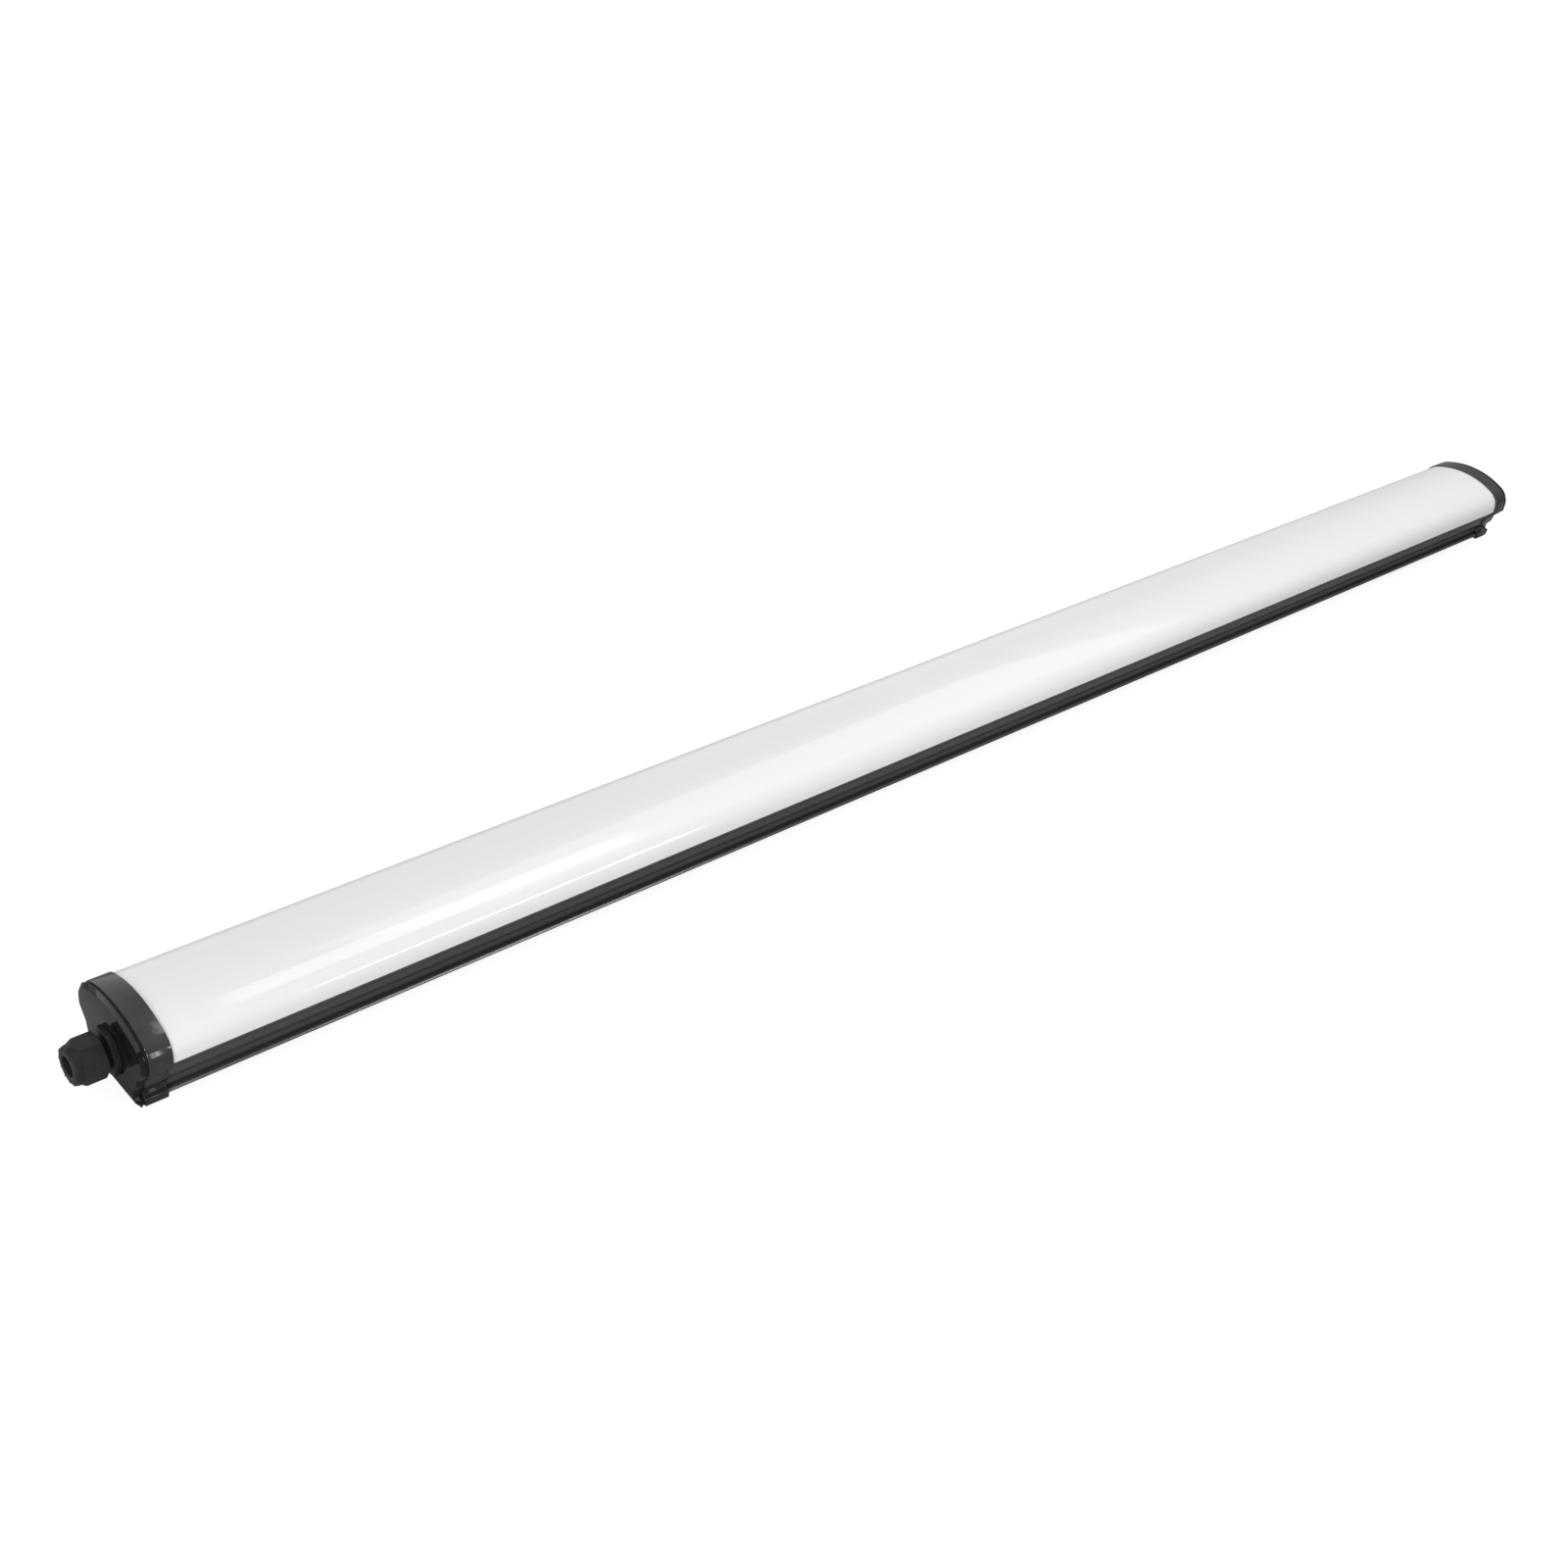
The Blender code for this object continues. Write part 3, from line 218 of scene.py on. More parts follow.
def surface(name, colour, roughness, metallic=0.0, gloss=0.5):
    """A Principled material whose links start from Object coordinates."""
    material = bpy.data.materials.new(name)
    material.use_nodes = True
    tree = material.node_tree
    shader = tree.nodes["Principled BSDF"]
    shader.inputs["Base Color"].default_value = (*colour, 1)
    shader.inputs["Roughness"].default_value = roughness
    shader.inputs["Metallic"].default_value = metallic
    shader.inputs["Specular IOR Level"].default_value = gloss
    place = tree.nodes.new("ShaderNodeTexCoord")
    return material, tree, shader, place.outputs["Object"]


def speckle(tree, coordinate, scale, detail=3.0, stretch=(1, 1, 1)):
    """Noise of a scale per metre, drawn out along an axis by stretch."""
    mapping = tree.nodes.new("ShaderNodeMapping")
    mapping.inputs["Scale"].default_value = stretch
    tree.links.new(coordinate, mapping.inputs["Vector"])
    noise = tree.nodes.new("ShaderNodeTexNoise")
    noise.inputs["Scale"].default_value = scale
    noise.inputs["Detail"].default_value = detail
    tree.links.new(mapping.outputs["Vector"], noise.inputs["Vector"])
    return noise.outputs["Fac"]


def between(tree, factor, low, high):
    """The factor spread over a range of values."""
    spread = tree.nodes.new("ShaderNodeMapRange")
    spread.inputs["From Min"].default_value = noise_low
    spread.inputs["From Max"].default_value = noise_high
    spread.inputs["To Min"].default_value = low
    spread.inputs["To Max"].default_value = high
    tree.links.new(factor, spread.inputs["Value"])
    return spread.outputs["Result"]


def tinted(tree, factor, dark, light):
    """A colour between two, by the factor."""
    ramp = tree.nodes.new("ShaderNodeValToRGB")
    ramp.color_ramp.elements[0].position = noise_low
    ramp.color_ramp.elements[0].color = (*dark, 1)
    ramp.color_ramp.elements[1].position = noise_high
    ramp.color_ramp.elements[1].color = (*light, 1)
    tree.links.new(factor, ramp.inputs["Fac"])
    return ramp.outputs["Color"]


def relief(tree, shader, height, depth):
    """Fine relief of a depth in metres."""
    bump = tree.nodes.new("ShaderNodeBump")
    bump.inputs["Distance"].default_value = depth
    tree.links.new(height, bump.inputs["Height"])
    tree.links.new(bump.outputs["Normal"], shader.inputs["Normal"])


def anodised_extrusion():
    """Black anodising with fine die lines along the extrusion."""
    material, tree, shader, place = surface(
        "black_anodising", (0.056, 0.056, 0.057), roughness=0.22, gloss=0.5
    )
    lines = speckle(tree, place, scale=420, detail=2.0, stretch=(0.004, 1, 1))
    cloud = speckle(tree, place, scale=14, detail=4.0, stretch=(0.3, 1, 1))
    tree.links.new(
        tinted(tree, cloud, (0.050, 0.050, 0.051), (0.062, 0.062, 0.063)),
        shader.inputs["Base Color"],
    )
    tree.links.new(between(tree, lines, low=0.19, high=0.25), shader.inputs["Roughness"])
    relief(tree, shader, lines, depth=0.000003)
    return material


side_corners = np.array([
    (flange_half_width, 0),
    (flange_half_width, flange_thickness),
    (waist_half_width, flange_thickness + groove_height),
    (lower_face_half_width, lower_face_top),
    (middle_half_width, middle_bottom),
    (middle_top_half_width, middle_top),
    (body_half_width, shoulder_bottom),
])
side_radii = np.array(
    [soft_edge, soft_edge, fine_edge, flowing_edge, flowing_edge, soft_edge, broad_edge]
)
lens_seat_half_width = 0.02945
rib_half_width = 0.02805
tray_slot_half_width = 0.03025
tray_slot_low = 0.0218
tray_slot_high = 0.0236
hook_low = 0.0271
hook_high = 0.0283
hook_half_width = 0.03105
tray_ledge_reach = 0.0007
tray_ledge_thickness = 0.0014


def body_section():
    """Outside from the back up to the seam, then the inside from the lens seat down."""
    flange = [
        (flange_half_width, 0),
        (flange_half_width, flange_slope_low),
        (flange_half_width - flange_slope_in, flange_thickness),
        (groove_half_width, flange_thickness),
        (groove_half_width, flange_thickness + groove_height),
    ]
    outside = np.concatenate([flange, side_corners[2:], [(body_half_width, seam_height)]])
    radii = np.concatenate([flange_slope_radii, [0, 0], side_radii[2:], [fine_edge]])
    inside = np.array([
        (lens_seat_half_width, seam_height),
        (lens_seat_half_width, hook_low),
        (hook_half_width, hook_low),
        (hook_half_width, hook_high),
        (rib_half_width, hook_high),
        (rib_half_width, tray_slot_high),
        (tray_slot_half_width, tray_slot_high),
        (tray_slot_half_width, tray_slot_low),
        (rib_half_width - tray_ledge_reach, tray_slot_low),
        (rib_half_width - tray_ledge_reach, tray_slot_low - tray_ledge_thickness),
        (middle_top_half_width - body_wall, middle_top),
        (middle_half_width - body_wall, middle_bottom),
        (lower_face_half_width - body_wall, lower_face_top),
        (lower_face_half_width - body_wall, flange_thickness),
    ])
    corners = both_sides(np.concatenate([outside, inside]))
    return rounded(corners, np.concatenate([radii, np.zeros(len(inside) * 2), radii[::-1]]))


section = body_section()
body_ends = [across_at(x, section) for x in (-body_half_length, body_half_length)]
extrusion = solid(
    "extruded_body", [body_ends], [[ring] for ring in body_ends], "fixture",
    anodised_extrusion(),
)
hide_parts("body")

# The lens is an opal white extrusion, glossy outside: a low crown with round shoulders, whose
# edges stand on the body and hook in under its lips.

lens_top_height = 0.0459
lens_crown_radius = 0.0657
lens_shoulder_radius = 0.01246
lens_wall = 0.0018
lens_gap = 0.0003
lens_flange_thickness = 0.0015
lens_flange_reach = 0.0022
crown_steps = 72
shoulder_steps = 24
scatter_weight = 0.15
scatter_depth = 0.002


def arch(inset):
    """+Y half of the arch: a shoulder arc from upright, then the tangent crown arc."""
    crown_radius = lens_crown_radius - inset
    shoulder_radius = lens_shoulder_radius - inset
    centre_y = body_half_width - lens_shoulder_radius
    crown_centre = lens_top_height - lens_crown_radius
    rise = np.sqrt((lens_crown_radius - lens_shoulder_radius) ** 2 - centre_y**2)
    tangent = np.arctan2(rise, centre_y)
    turn = np.linspace(0, tangent, shoulder_steps + 1)
    shoulder = np.column_stack([
        centre_y + shoulder_radius * np.cos(turn),
        crown_centre + rise + shoulder_radius * np.sin(turn),
    ])
    turn = np.linspace(tangent, np.pi / 2, crown_steps + 1)[1:]
    crown = np.column_stack(
        [crown_radius * np.cos(turn), crown_centre + crown_radius * np.sin(turn)]
    )
    crown[-1, 0] = 0
    return np.concatenate([shoulder, crown])


def opal():
    """White polycarbonate with light scattered just below a smooth skin."""
    material, tree, shader, place = surface(
        "opal_polycarbonate", (0.865, 0.865, 0.865), roughness=0.07
    )
    cloud = speckle(tree, place, scale=9, detail=4.0, stretch=(0.35, 1, 1))
    grain = speckle(tree, place, scale=1400, detail=2.0)
    tree.links.new(
        tinted(tree, cloud, (0.85, 0.85, 0.85), (0.88, 0.88, 0.88)),
        shader.inputs["Base Color"],
    )
    tree.links.new(between(tree, grain, low=0.06, high=0.09), shader.inputs["Roughness"])
    shader.inputs["Subsurface Weight"].default_value = scatter_weight
    shader.inputs["Subsurface Radius"].default_value = (scatter_depth,) * 3
    shader.inputs["Subsurface Scale"].default_value = 1.0
    relief(tree, shader, grain, depth=0.000002)
    return material


def lens_section():
    """Outside of the arch, then back along its inside with the flanges turned inwards."""
    bottom = seam_height + lens_gap
    flange_end = body_half_width - lens_wall - lens_flange_reach
    outside = both_sides(np.concatenate([[(body_half_width, bottom)], arch(0.0)]))
    flange = np.array([
        (flange_end, bottom),
        (flange_end, bottom + lens_flange_thickness),
        (body_half_width - lens_wall, bottom + lens_flange_thickness),
    ])
    inside = both_sides(np.concatenate([flange, arch(lens_wall)]))
    return np.concatenate([outside, inside[::-1]])


lens_half_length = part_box("lens")[1][0]
lens_ends = [across_at(x, lens_section()) for x in (-lens_half_length, lens_half_length)]
lens = solid(
    "opal_lens", [lens_ends], [[ring] for ring in lens_ends], "fixture", opal(),
)
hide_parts("lens")

# Each end has a glossy black moulded collar round body and lens, a black ring in a fine line,
# and a flat cover with a chamfered rim. The collars' feet reach below the body's back.

collar_proud = 0.00095
foot_drop = 0.0026
foot_taper = 0.0007
pocket_gap = 0.0003
collar_edge = 0.0005
line_edge = 0.0008
cover_inset = 0.0001
cover_chamfer = 0.0019
cover_edge = 0.0004
cover_rim_start = 0.0021
ring_play = 0.00025
screw_head_depth = 0.0023
plate_half_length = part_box("end_plate_far")[1][0]
collar_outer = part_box("collar_far")[1][0]
collar_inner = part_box("collar_far")[0][0]
web_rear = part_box("end_seal_far")[1][0] + pocket_gap
cover_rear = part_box("gasket_far")[1][0] + ring_play
gland_centre = np.array([-plate_half_length, 0.0, 0.0176])
window_foot = np.array([(0.0125, 0.0040), (0.0125, 0.0094), (0.0190, 0.0150)])
window_half_width = 0.0190
window_spring_high = 0.0270
window_top_height = 0.0370
window_steps = 16
plug_wall = 0.0014
plug_depth = 0.0045
ports = [(0.0163, 0.0049), (-0.0163, 0.0049), (0.0239, 0.0162), (-0.0239, 0.0162)]
screw_head_hole = 0.0029
screw_shank_hole = 0.0017
screw_seat = collar_outer - screw_head_depth
gland_hole = 0.0082
circle_steps = 48
edge_steps = 5
minor_softening = 0.4
skin_wave = 10.0  # depth of the wave in orange peels
skin_depth = 0.000016
blue_tint = 1.04
darkest, lightest = 0.55, 1.5  # shares of the tone


def black_moulding(name, tone, gloss):
    """Glossy moulded plastic: a slightly wavy skin with a trace of orange peel."""
    colour = np.array([tone, tone, blue_tint * tone])
    material, tree, shader, place = surface(name, colour, roughness=0.08, gloss=gloss)
    peel = speckle(tree, place, scale=650, detail=2.0)
    wave = speckle(tree, place, scale=110, detail=2.0)
    cloud = speckle(tree, place, scale=60, detail=4.0)
    clouded = tinted(tree, cloud, darkest * colour, lightest * colour)
    tree.links.new(clouded, shader.inputs["Base Color"])
    tree.links.new(between(tree, cloud, low=0.08, high=0.15), shader.inputs["Roughness"])
    skin = tree.nodes.new("ShaderNodeMath")
    skin.operation = "MULTIPLY_ADD"
    skin.inputs[1].default_value = skin_wave
    tree.links.new(wave, skin.inputs[0])
    tree.links.new(peel, skin.inputs[2])
    relief(tree, shader, skin.outputs[0], depth=skin_depth)
    return material


def cap_corners():
    """The skin of body and lens together, as corners to offset and round."""
    half = np.concatenate([side_corners, arch(0.0)])
    radii = np.concatenate([side_radii, np.zeros(len(half) - len(side_corners))])
    whole = both_sides(half)
    return whole, np.concatenate([radii, radii[::-1][1:]])


skin_corners, skin_radii = cap_corners()


def cap_outline(inset, softening=0.0):
    """The collar's outline, drawn in by inset, with its feet below the back. Its corners
    soften as it is drawn in, the shoulder's lower corner most."""
    outline = outward_offset(skin_corners, collar_proud - inset)
    outline[[0, -1], 0] -= foot_taper * np.sign(outline[[0, -1], 0])
    outline[[0, -1], 1] = -foot_drop + inset
    share = np.where(skin_radii == broad_edge, softening, minor_softening * softening)
    share = share * (skin_radii > 0)
    return rounded(outline, skin_radii + share * inset)


def quarter(start, towards, radius):
    """(place, inset) round an edge, from its full inset to none."""
    turn = np.linspace(0, np.pi / 2, edge_steps + 1)
    return start + towards * radius * (1 - np.cos(turn)), radius * (1 - np.sin(turn))


def collar_skin(side):
    """The collar's outside, from its front edge to its rear edge, both rounded."""
    front, front_inset = quarter(collar_outer, -1, line_edge)
    rear, rear_inset = quarter(collar_inner, 1, collar_edge)
    places = np.concatenate([front, rear[::-1]])
    insets = np.concatenate([front_inset, rear_inset[::-1]])
    return [across_at(side * x, cap_outline(i)) for x, i in zip(places, insets)]


def window_outline(inset=0.0):
    """Opening in the collar's web: narrow below for the lower screws, an elliptic arch above."""
    rise = np.linspace(0, np.pi / 2, window_steps + 1)
    curve = np.column_stack([
        window_half_width * np.cos(rise),
        window_spring_high + (window_top_height - window_spring_high) * np.sin(rise),
    ])
    curve[-1, 0] = 0
    half = np.concatenate([window_foot, curve])
    return outward_offset(both_sides(half), -inset)


def circle(centre, radius):
    """Points round a centre, at even turns."""
    turn = np.linspace(0, 2 * np.pi, circle_steps, endpoint=False)
    return np.array(centre) + radius * np.column_stack([np.cos(turn), np.sin(turn)])


def tube(side, outline, *places):
    """The wall that an outline sweeps between places along the fixture."""
    return [across_at(side * x, outline) for x in places]


def make_collar(end, side, material):
    """A skin round a pocket for body and lens, and a web with a window and four screw holes."""
    skin = collar_skin(side)
    pocket_outline = rounded(outward_offset(skin_corners, pocket_gap), skin_radii)
    pocket = tube(side, pocket_outline, collar_inner, web_rear)
    window = tube(side, window_outline(), collar_outer, web_rear)
    heads = [tube(side, circle(at, screw_head_hole), collar_outer, screw_seat) for at in ports]
    shanks = [tube(side, circle(at, screw_shank_hole), screw_seat, web_rear) for at in ports]
    flats = [
        [skin[0], window[0], *[wall[0] for wall in heads]],
        [skin[-1], pocket[0]],
        [pocket[1], window[1], *[wall[1] for wall in shanks]],
    ]
    flats += [[head[1], shank[0]] for head, shank in zip(heads, shanks)]
    collar = solid(
        f"end_collar_{end}", [skin, pocket, window, *heads, *shanks], flats,
        "fixture", material,
    )
    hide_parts(f"collar_{end}")


def make_cover(end, side, material):
    """A dished rim round a flat face, with a plug behind; the near one has the gland's hole."""
    turn = np.linspace(0, np.pi / 4, edge_steps)
    face_in = cover_chamfer + cover_edge * (1 - np.sin(turn))
    face_at = plate_half_length - cover_edge * (1 - np.cos(turn))
    slope_at = plate_half_length - cover_rim_start
    rear, rear_in = quarter(cover_rear, 1, line_edge)
    places = np.concatenate([face_at, [slope_at], rear[::-1]])
    insets = np.concatenate([face_in, [cover_inset], cover_inset + rear_in[::-1]])
    rings = [across_at(side * x, cap_outline(i, 1.0)) for x, i in zip(places, insets)]
    plug_end = cover_rear - plug_depth
    outside = tube(side, window_outline(pocket_gap), cover_rear, plug_end)
    inside = tube(side, window_outline(pocket_gap + plug_wall), cover_rear, plug_end)
    hole = []
    if side < 0:
        round_gland = circle((0, gland_centre[2]), gland_hole)
        hole = [tube(side, round_gland, plate_half_length, cover_rear)]
    flats = [
        [rings[0], *[wall[0] for wall in hole]],
        [rings[-1], outside[0]],
        [outside[1], inside[1]],
        [inside[0], *[wall[1] for wall in hole]],
    ]
    cover = solid(
        f"end_cover_{end}", [rings, outside, inside, *hole], flats,
        "fixture", material, sharp=25.0,
    )
    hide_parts(f"end_plate_{end}")


# The cover is the same black moulding as the collar, but its tone is a third of the collar's:
# painted shade that stands in for the dark surroundings its glossy face reflects.
collar_moulding = black_moulding("glossy_black_collar", tone=0.024, gloss=0.54)
cover_moulding_painted_darker = black_moulding("glossy_black_cover_painted_shade", tone=0.008, gloss=0.24)
for end, side in (("near", -1), ("far", 1)):
    make_collar(end, side, collar_moulding)
    make_cover(end, side, cover_moulding_painted_darker)

# The cable gland is black nylon: a hexagon flange with a threaded neck behind, and a hexagon
# dome nut with fine ribs round its nose. A slip ring lies between nut and clamping fingers.

flange_flats = 0.0240
flange_start = 0.0003
flange_end = 0.0031
flange_chamfer = 0.0006
flange_step = 0.0002
neck_radius = 0.0089
neck_end = 0.0130
thread_pitch = 0.0015
thread_depth = 0.0007
thread_step = 0.0001
thread_run_in = 0.0004
thread_run_out = 0.0006
tail_length = 0.0080  # of the thread behind the cover
tail_radius = 0.0079
foot_gap = 0.0001
claw_end = 0.0182
claw_radius = 0.0076
bore_radius = 0.0050
seal_seat = 0.0072
seal_radius = 0.0064
nut_flats = 0.0220
nut_start = 0.0056
nut_rear_chamfer = 0.0007
nut_step = 0.0003
nut_play = 0.0003
nut_thread_end = 0.0140
nut_hollow_start = 0.0153
nut_hollow_end = 0.0195
nut_corner_end = 0.0160
nut_flat_end = 0.0185
nut_rib_start = 0.0196
nut_end = 0.0226
nut_nose_radius = 0.0103
nut_nose_round = 0.0016
nut_mouth_radius = 0.0056
nut_mouth_edge = 0.0005
nut_nose_steps = 12
nut_first_corner = np.radians(55.0)
rib_count = 12
rib_half_angle = np.radians(2.6)
rib_height = 0.00035
rib_fan_depth = 0.0045  # of the point that the ribs rise from
rib_fade = 0.4
around = 720
blend = 0.00012
corner_sharpness = 60.0


def hexagon_radius(turn, flats, round_off=corner_sharpness):
    """Distance to a hexagon's side: the flat over the cosine from its middle, joined softly."""
    middles = nut_first_corner + np.radians(30 + 60 * np.arange(6))
    lean = np.maximum(np.cos(turn[:, None] - middles), 0) / (flats / 2)
    return (lean**round_off).sum(axis=1) ** (-1 / round_off)


def softly_least(a, b):
    """The smaller of two radii, with a short blend where they cross."""
    return -blend * np.logaddexp(-a / blend, -b / blend)


def about_gland(out, radius, turn):
    """Rings about the gland's axis: out is the distance from the end plate."""
    return np.stack(
        [
            gland_centre[0] - out + 0 * turn,
            gland_centre[1] + radius * np.cos(turn),
            gland_centre[2] + radius * np.sin(turn),
        ],
        axis=-1,
    )


turn = np.linspace(0, 2 * np.pi, around, endpoint=False)


def nylon():
    """Black nylon with a fine spark finish."""
    material, tree, shader, place = surface(
        "black_nylon", (0.024, 0.024, 0.0244), roughness=0.31, gloss=0.12
    )
    grain = speckle(tree, place, scale=2600)
    cloud = speckle(tree, place, scale=120)
    tree.links.new(
        tinted(tree, cloud, (0.018, 0.018, 0.0183), (0.030, 0.030, 0.0305)),
        shader.inputs["Base Color"],
    )
    tree.links.new(between(tree, grain, low=0.26, high=0.36), shader.inputs["Roughness"])
    relief(tree, shader, grain, depth=0.000008)
    return material


def profile_rings(profile, outline_radius=None):
    """Rings for a profile of (out, radius), each no wider than the outline's radius."""
    rings = []
    for out, radius in profile:
        limit = np.full(around, radius)
        if outline_radius is not None:
            limit = softly_least(limit, outline_radius)
        rings.append(about_gland(out, limit, turn))
    return rings


def dense(points, step):
    """A profile with its straight runs cut into steps."""
    points = np.array(points)
    pieces = []
    for a, b in zip(points, points[1:]):
        count = max(1, int(np.ceil(np.linalg.norm(b - a) / step)))
        pieces.append(a + (b - a) * np.linspace(0, 1, count + 1)[:-1, None])
    return np.concatenate(pieces + [points[-1:]])


def nose_ribs(rings, start, end):
    """Raises the rings between two of the profile's points into ribs that run over the nose."""
    spacing = 2 * np.pi / rib_count
    off = np.abs((turn - nut_first_corner + spacing / 2) % spacing - spacing / 2)
    rise = np.clip(1.5 - off / rib_half_angle, 0, 1)  # half high at the half angle
    shape = rise * rise * (3 - 2 * rise)
    rings = np.array(rings)
    middle = gland_centre - np.array([nut_end - rib_fan_depth, 0, 0])
    for index in range(start, end):
        away = rings[index] - middle
        away /= np.linalg.norm(away, axis=1)[:, None]
        fade = np.sin(np.pi * (index - start + 1) / (end - start + 1)) ** rib_fade
        rings[index] += away * (rib_height * fade * shape)[:, None]
    return list(rings)


def make_nut(material):
    """A turned profile cut down to a hexagon, with ribs over the nose and a hollow behind it."""
    beyond = nut_flats / np.sqrt(3) + 2 * blend
    sides = dense(
        [(nut_start, nut_flats / 2 - nut_rear_chamfer), (nut_start + nut_rear_chamfer, beyond),
         (nut_corner_end, beyond), (nut_flat_end, nut_flats / 2 + blend),
         (nut_end - nut_nose_round, nut_nose_radius)],
        nut_step,
    )
    turning = np.linspace(0, np.pi / 2, nut_nose_steps)[1:]
    nose = np.column_stack([
        nut_end - nut_nose_round + nut_nose_round * np.sin(turning),
        nut_nose_radius - nut_nose_round + nut_nose_round * np.cos(turning),
    ])
    lip = (nut_end, nut_mouth_radius + nut_mouth_edge)
    front = dense([nose[-1], lip], nut_mouth_edge)[1:]
    mouth = [(nut_end - nut_mouth_edge, nut_mouth_radius), (nut_hollow_end, nut_mouth_radius)]
    outer = profile_rings(
        np.concatenate([sides, nose, front]), hexagon_radius(turn, nut_flats)
    )
    rib_start = int(np.argmin(np.abs(sides[:, 0] - nut_rib_start)))
    outer = nose_ribs(outer, rib_start, len(sides) + len(nose) + 2)
    thread = neck_radius + nut_play
    hollow = claw_radius + nut_play
    inner = profile_rings([*mouth, (nut_hollow_end, hollow), (nut_hollow_start, hollow),
                           (nut_thread_end, thread), (nut_start, thread)])
    nut = solid(
        "dome_nut", [np.array([*outer, *inner, outer[0]])], [], "gland_nut",
        material, sharp=28.0,
    )
    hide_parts("gland_nut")


def make_gland_body(material):
    """The neck's radius follows a helix: it dips once a pitch and once round."""
    corner = flange_flats / np.sqrt(3)
    flange = dense(
        [(flange_start, corner - flange_chamfer),
         (flange_start + flange_chamfer, corner + blend),
         (flange_end - flange_chamfer, corner + blend), (flange_end, flange_flats / 2 - blend)],
        flange_step,
    )
    rings = profile_rings(flange, hexagon_radius(turn, flange_flats))
    rings += profile_rings([(flange_end, neck_radius - thread_depth)])
    for out in np.arange(flange_end + flange_step, neck_end, thread_step):
        wave = 0.5 + 0.5 * np.cos(2 * np.pi * out / thread_pitch + turn)
        fade = min(1.0, (neck_end - out) / thread_run_out, (out - flange_end) / thread_run_in)
        rings.append(about_gland(out, neck_radius - thread_depth * (1 - wave * fade), turn))
    thread_tip = -(plate_half_length - cover_rear) - tail_length
    inside = [(neck_end, claw_radius), (claw_end, claw_radius), (claw_end, seal_radius),
              (seal_seat, seal_radius), (seal_seat, bore_radius), (thread_tip, bore_radius),
              (thread_tip, tail_radius), (-foot_gap, tail_radius)]
    rings += profile_rings(inside)
    body = solid(
        "threaded_gland_body", [np.array([*rings, rings[0]])], [], "fixture",
        material, sharp=28.0,
    )
    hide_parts("gland_body")


gland_finish = nylon()
make_nut(gland_finish)
make_gland_body(gland_finish)

# The gland's seal, washer and lock nut are soft rubber and nylon, and the rings in the lines
# beside the end covers are black rubber; the pads at the ends of the body are grey silicone.


def rubber(name, dark, light):
    """Matt rubber with a fine bloom."""
    material, tree, shader, place = surface(name, light, roughness=0.7)
    bloom = speckle(tree, place, scale=300, detail=4.0)
    tree.links.new(tinted(tree, bloom, dark, light), shader.inputs["Base Color"])
    tree.links.new(between(tree, bloom, low=0.6, high=0.8), shader.inputs["Roughness"])
    relief(tree, shader, bloom, depth=0.00001)
    return material


def dress(material, *names):
    """Gives CAD nodes a finish."""
    for name in names:
        nodes[name].data.materials.clear()
        nodes[name].data.materials.append(material)


dress(rubber("black_rubber", (0.008,) * 3, (0.014,) * 3),
      "gasket_near", "gasket_far", "gland_washer", "gland_seal")
dress(rubber("grey_silicone", (0.30,) * 3, (0.38,) * 3), "end_seal_near", "end_seal_far")
dress(gland_finish, "gland_lock_nut")

# Inside, a white sheet steel tray carries the boards, the driver, the terminal block and the
# earth tag. Everything is held by small zinc plated screws.

paint_shade = 0.92
paint_spread = 0.06


def plated_steel():
    """Zinc plating with a fine crystalline mottle."""
    material, tree, shader, place = surface(
        "zinc_plate", (0.6, 0.61, 0.62), roughness=0.3, metallic=1.0
    )
    mottle = speckle(tree, place, scale=900)
    tree.links.new(
        tinted(tree, mottle, (0.50, 0.51, 0.53), (0.68, 0.69, 0.70)),
        shader.inputs["Base Color"],
    )
    tree.links.new(between(tree, mottle, low=0.22, high=0.4), shader.inputs["Roughness"])
    return material


def painted(name, colour, roughness, scale):
    """An even coat with a faint texture and a slight change of tone."""
    material, tree, shader, place = surface(name, colour, roughness)
    tone = speckle(tree, place, scale)
    dark = tuple(paint_shade * c for c in colour)
    tree.links.new(tinted(tree, tone, dark, colour), shader.inputs["Base Color"])
    spread = between(tree, tone, roughness - paint_spread, roughness + paint_spread)
    tree.links.new(spread, shader.inputs["Roughness"])
    relief(tree, shader, tone, depth=0.00001)
    return material


small_screws = ("board_screw", "driver_screw", "end_screw", "clamp_screw")
dress(plated_steel(), "slip_ring", "earth_tag", "earth_screw", "terminal_fixing_screw",
      *[n for n in nodes if n.startswith(small_screws)])
dress(painted("white_sheet", (0.80, 0.80, 0.78), roughness=0.42, scale=500), "gear_tray")
dress(painted("white_board", (0.82, 0.83, 0.82), roughness=0.36, scale=900),
      "driver_board", *[n for n in nodes if n.startswith("led_board")])
dress(painted("white_case", (0.74, 0.74, 0.72), roughness=0.45, scale=1200),
      "driver_case", "driver_lid")
dress(painted("white_terminal", (0.70, 0.70, 0.68), roughness=0.4, scale=1500),
      "terminal_block", *[n for n in nodes if n.startswith("board_link")])
for name, colour in (
    ("lead_live", (0.16, 0.06, 0.02)),
    ("lead_neutral", (0.02, 0.12, 0.45)),
    ("lead_earth", (0.05, 0.32, 0.06)),
    ("lead_plus", (0.50, 0.02, 0.02)),
    ("lead_minus", (0.02, 0.02, 0.02)),
):
    dress(painted(f"{name}_insulation", colour, roughness=0.45, scale=2000), name)

# The fixture lies on a floor that looks plain white, under soft studio light. Boxes overhead
# and in front draw the streaks on the lens, those beyond the near end light the moulding
# there, a panel lights the far end, and a low card draws the glint on the near collar.

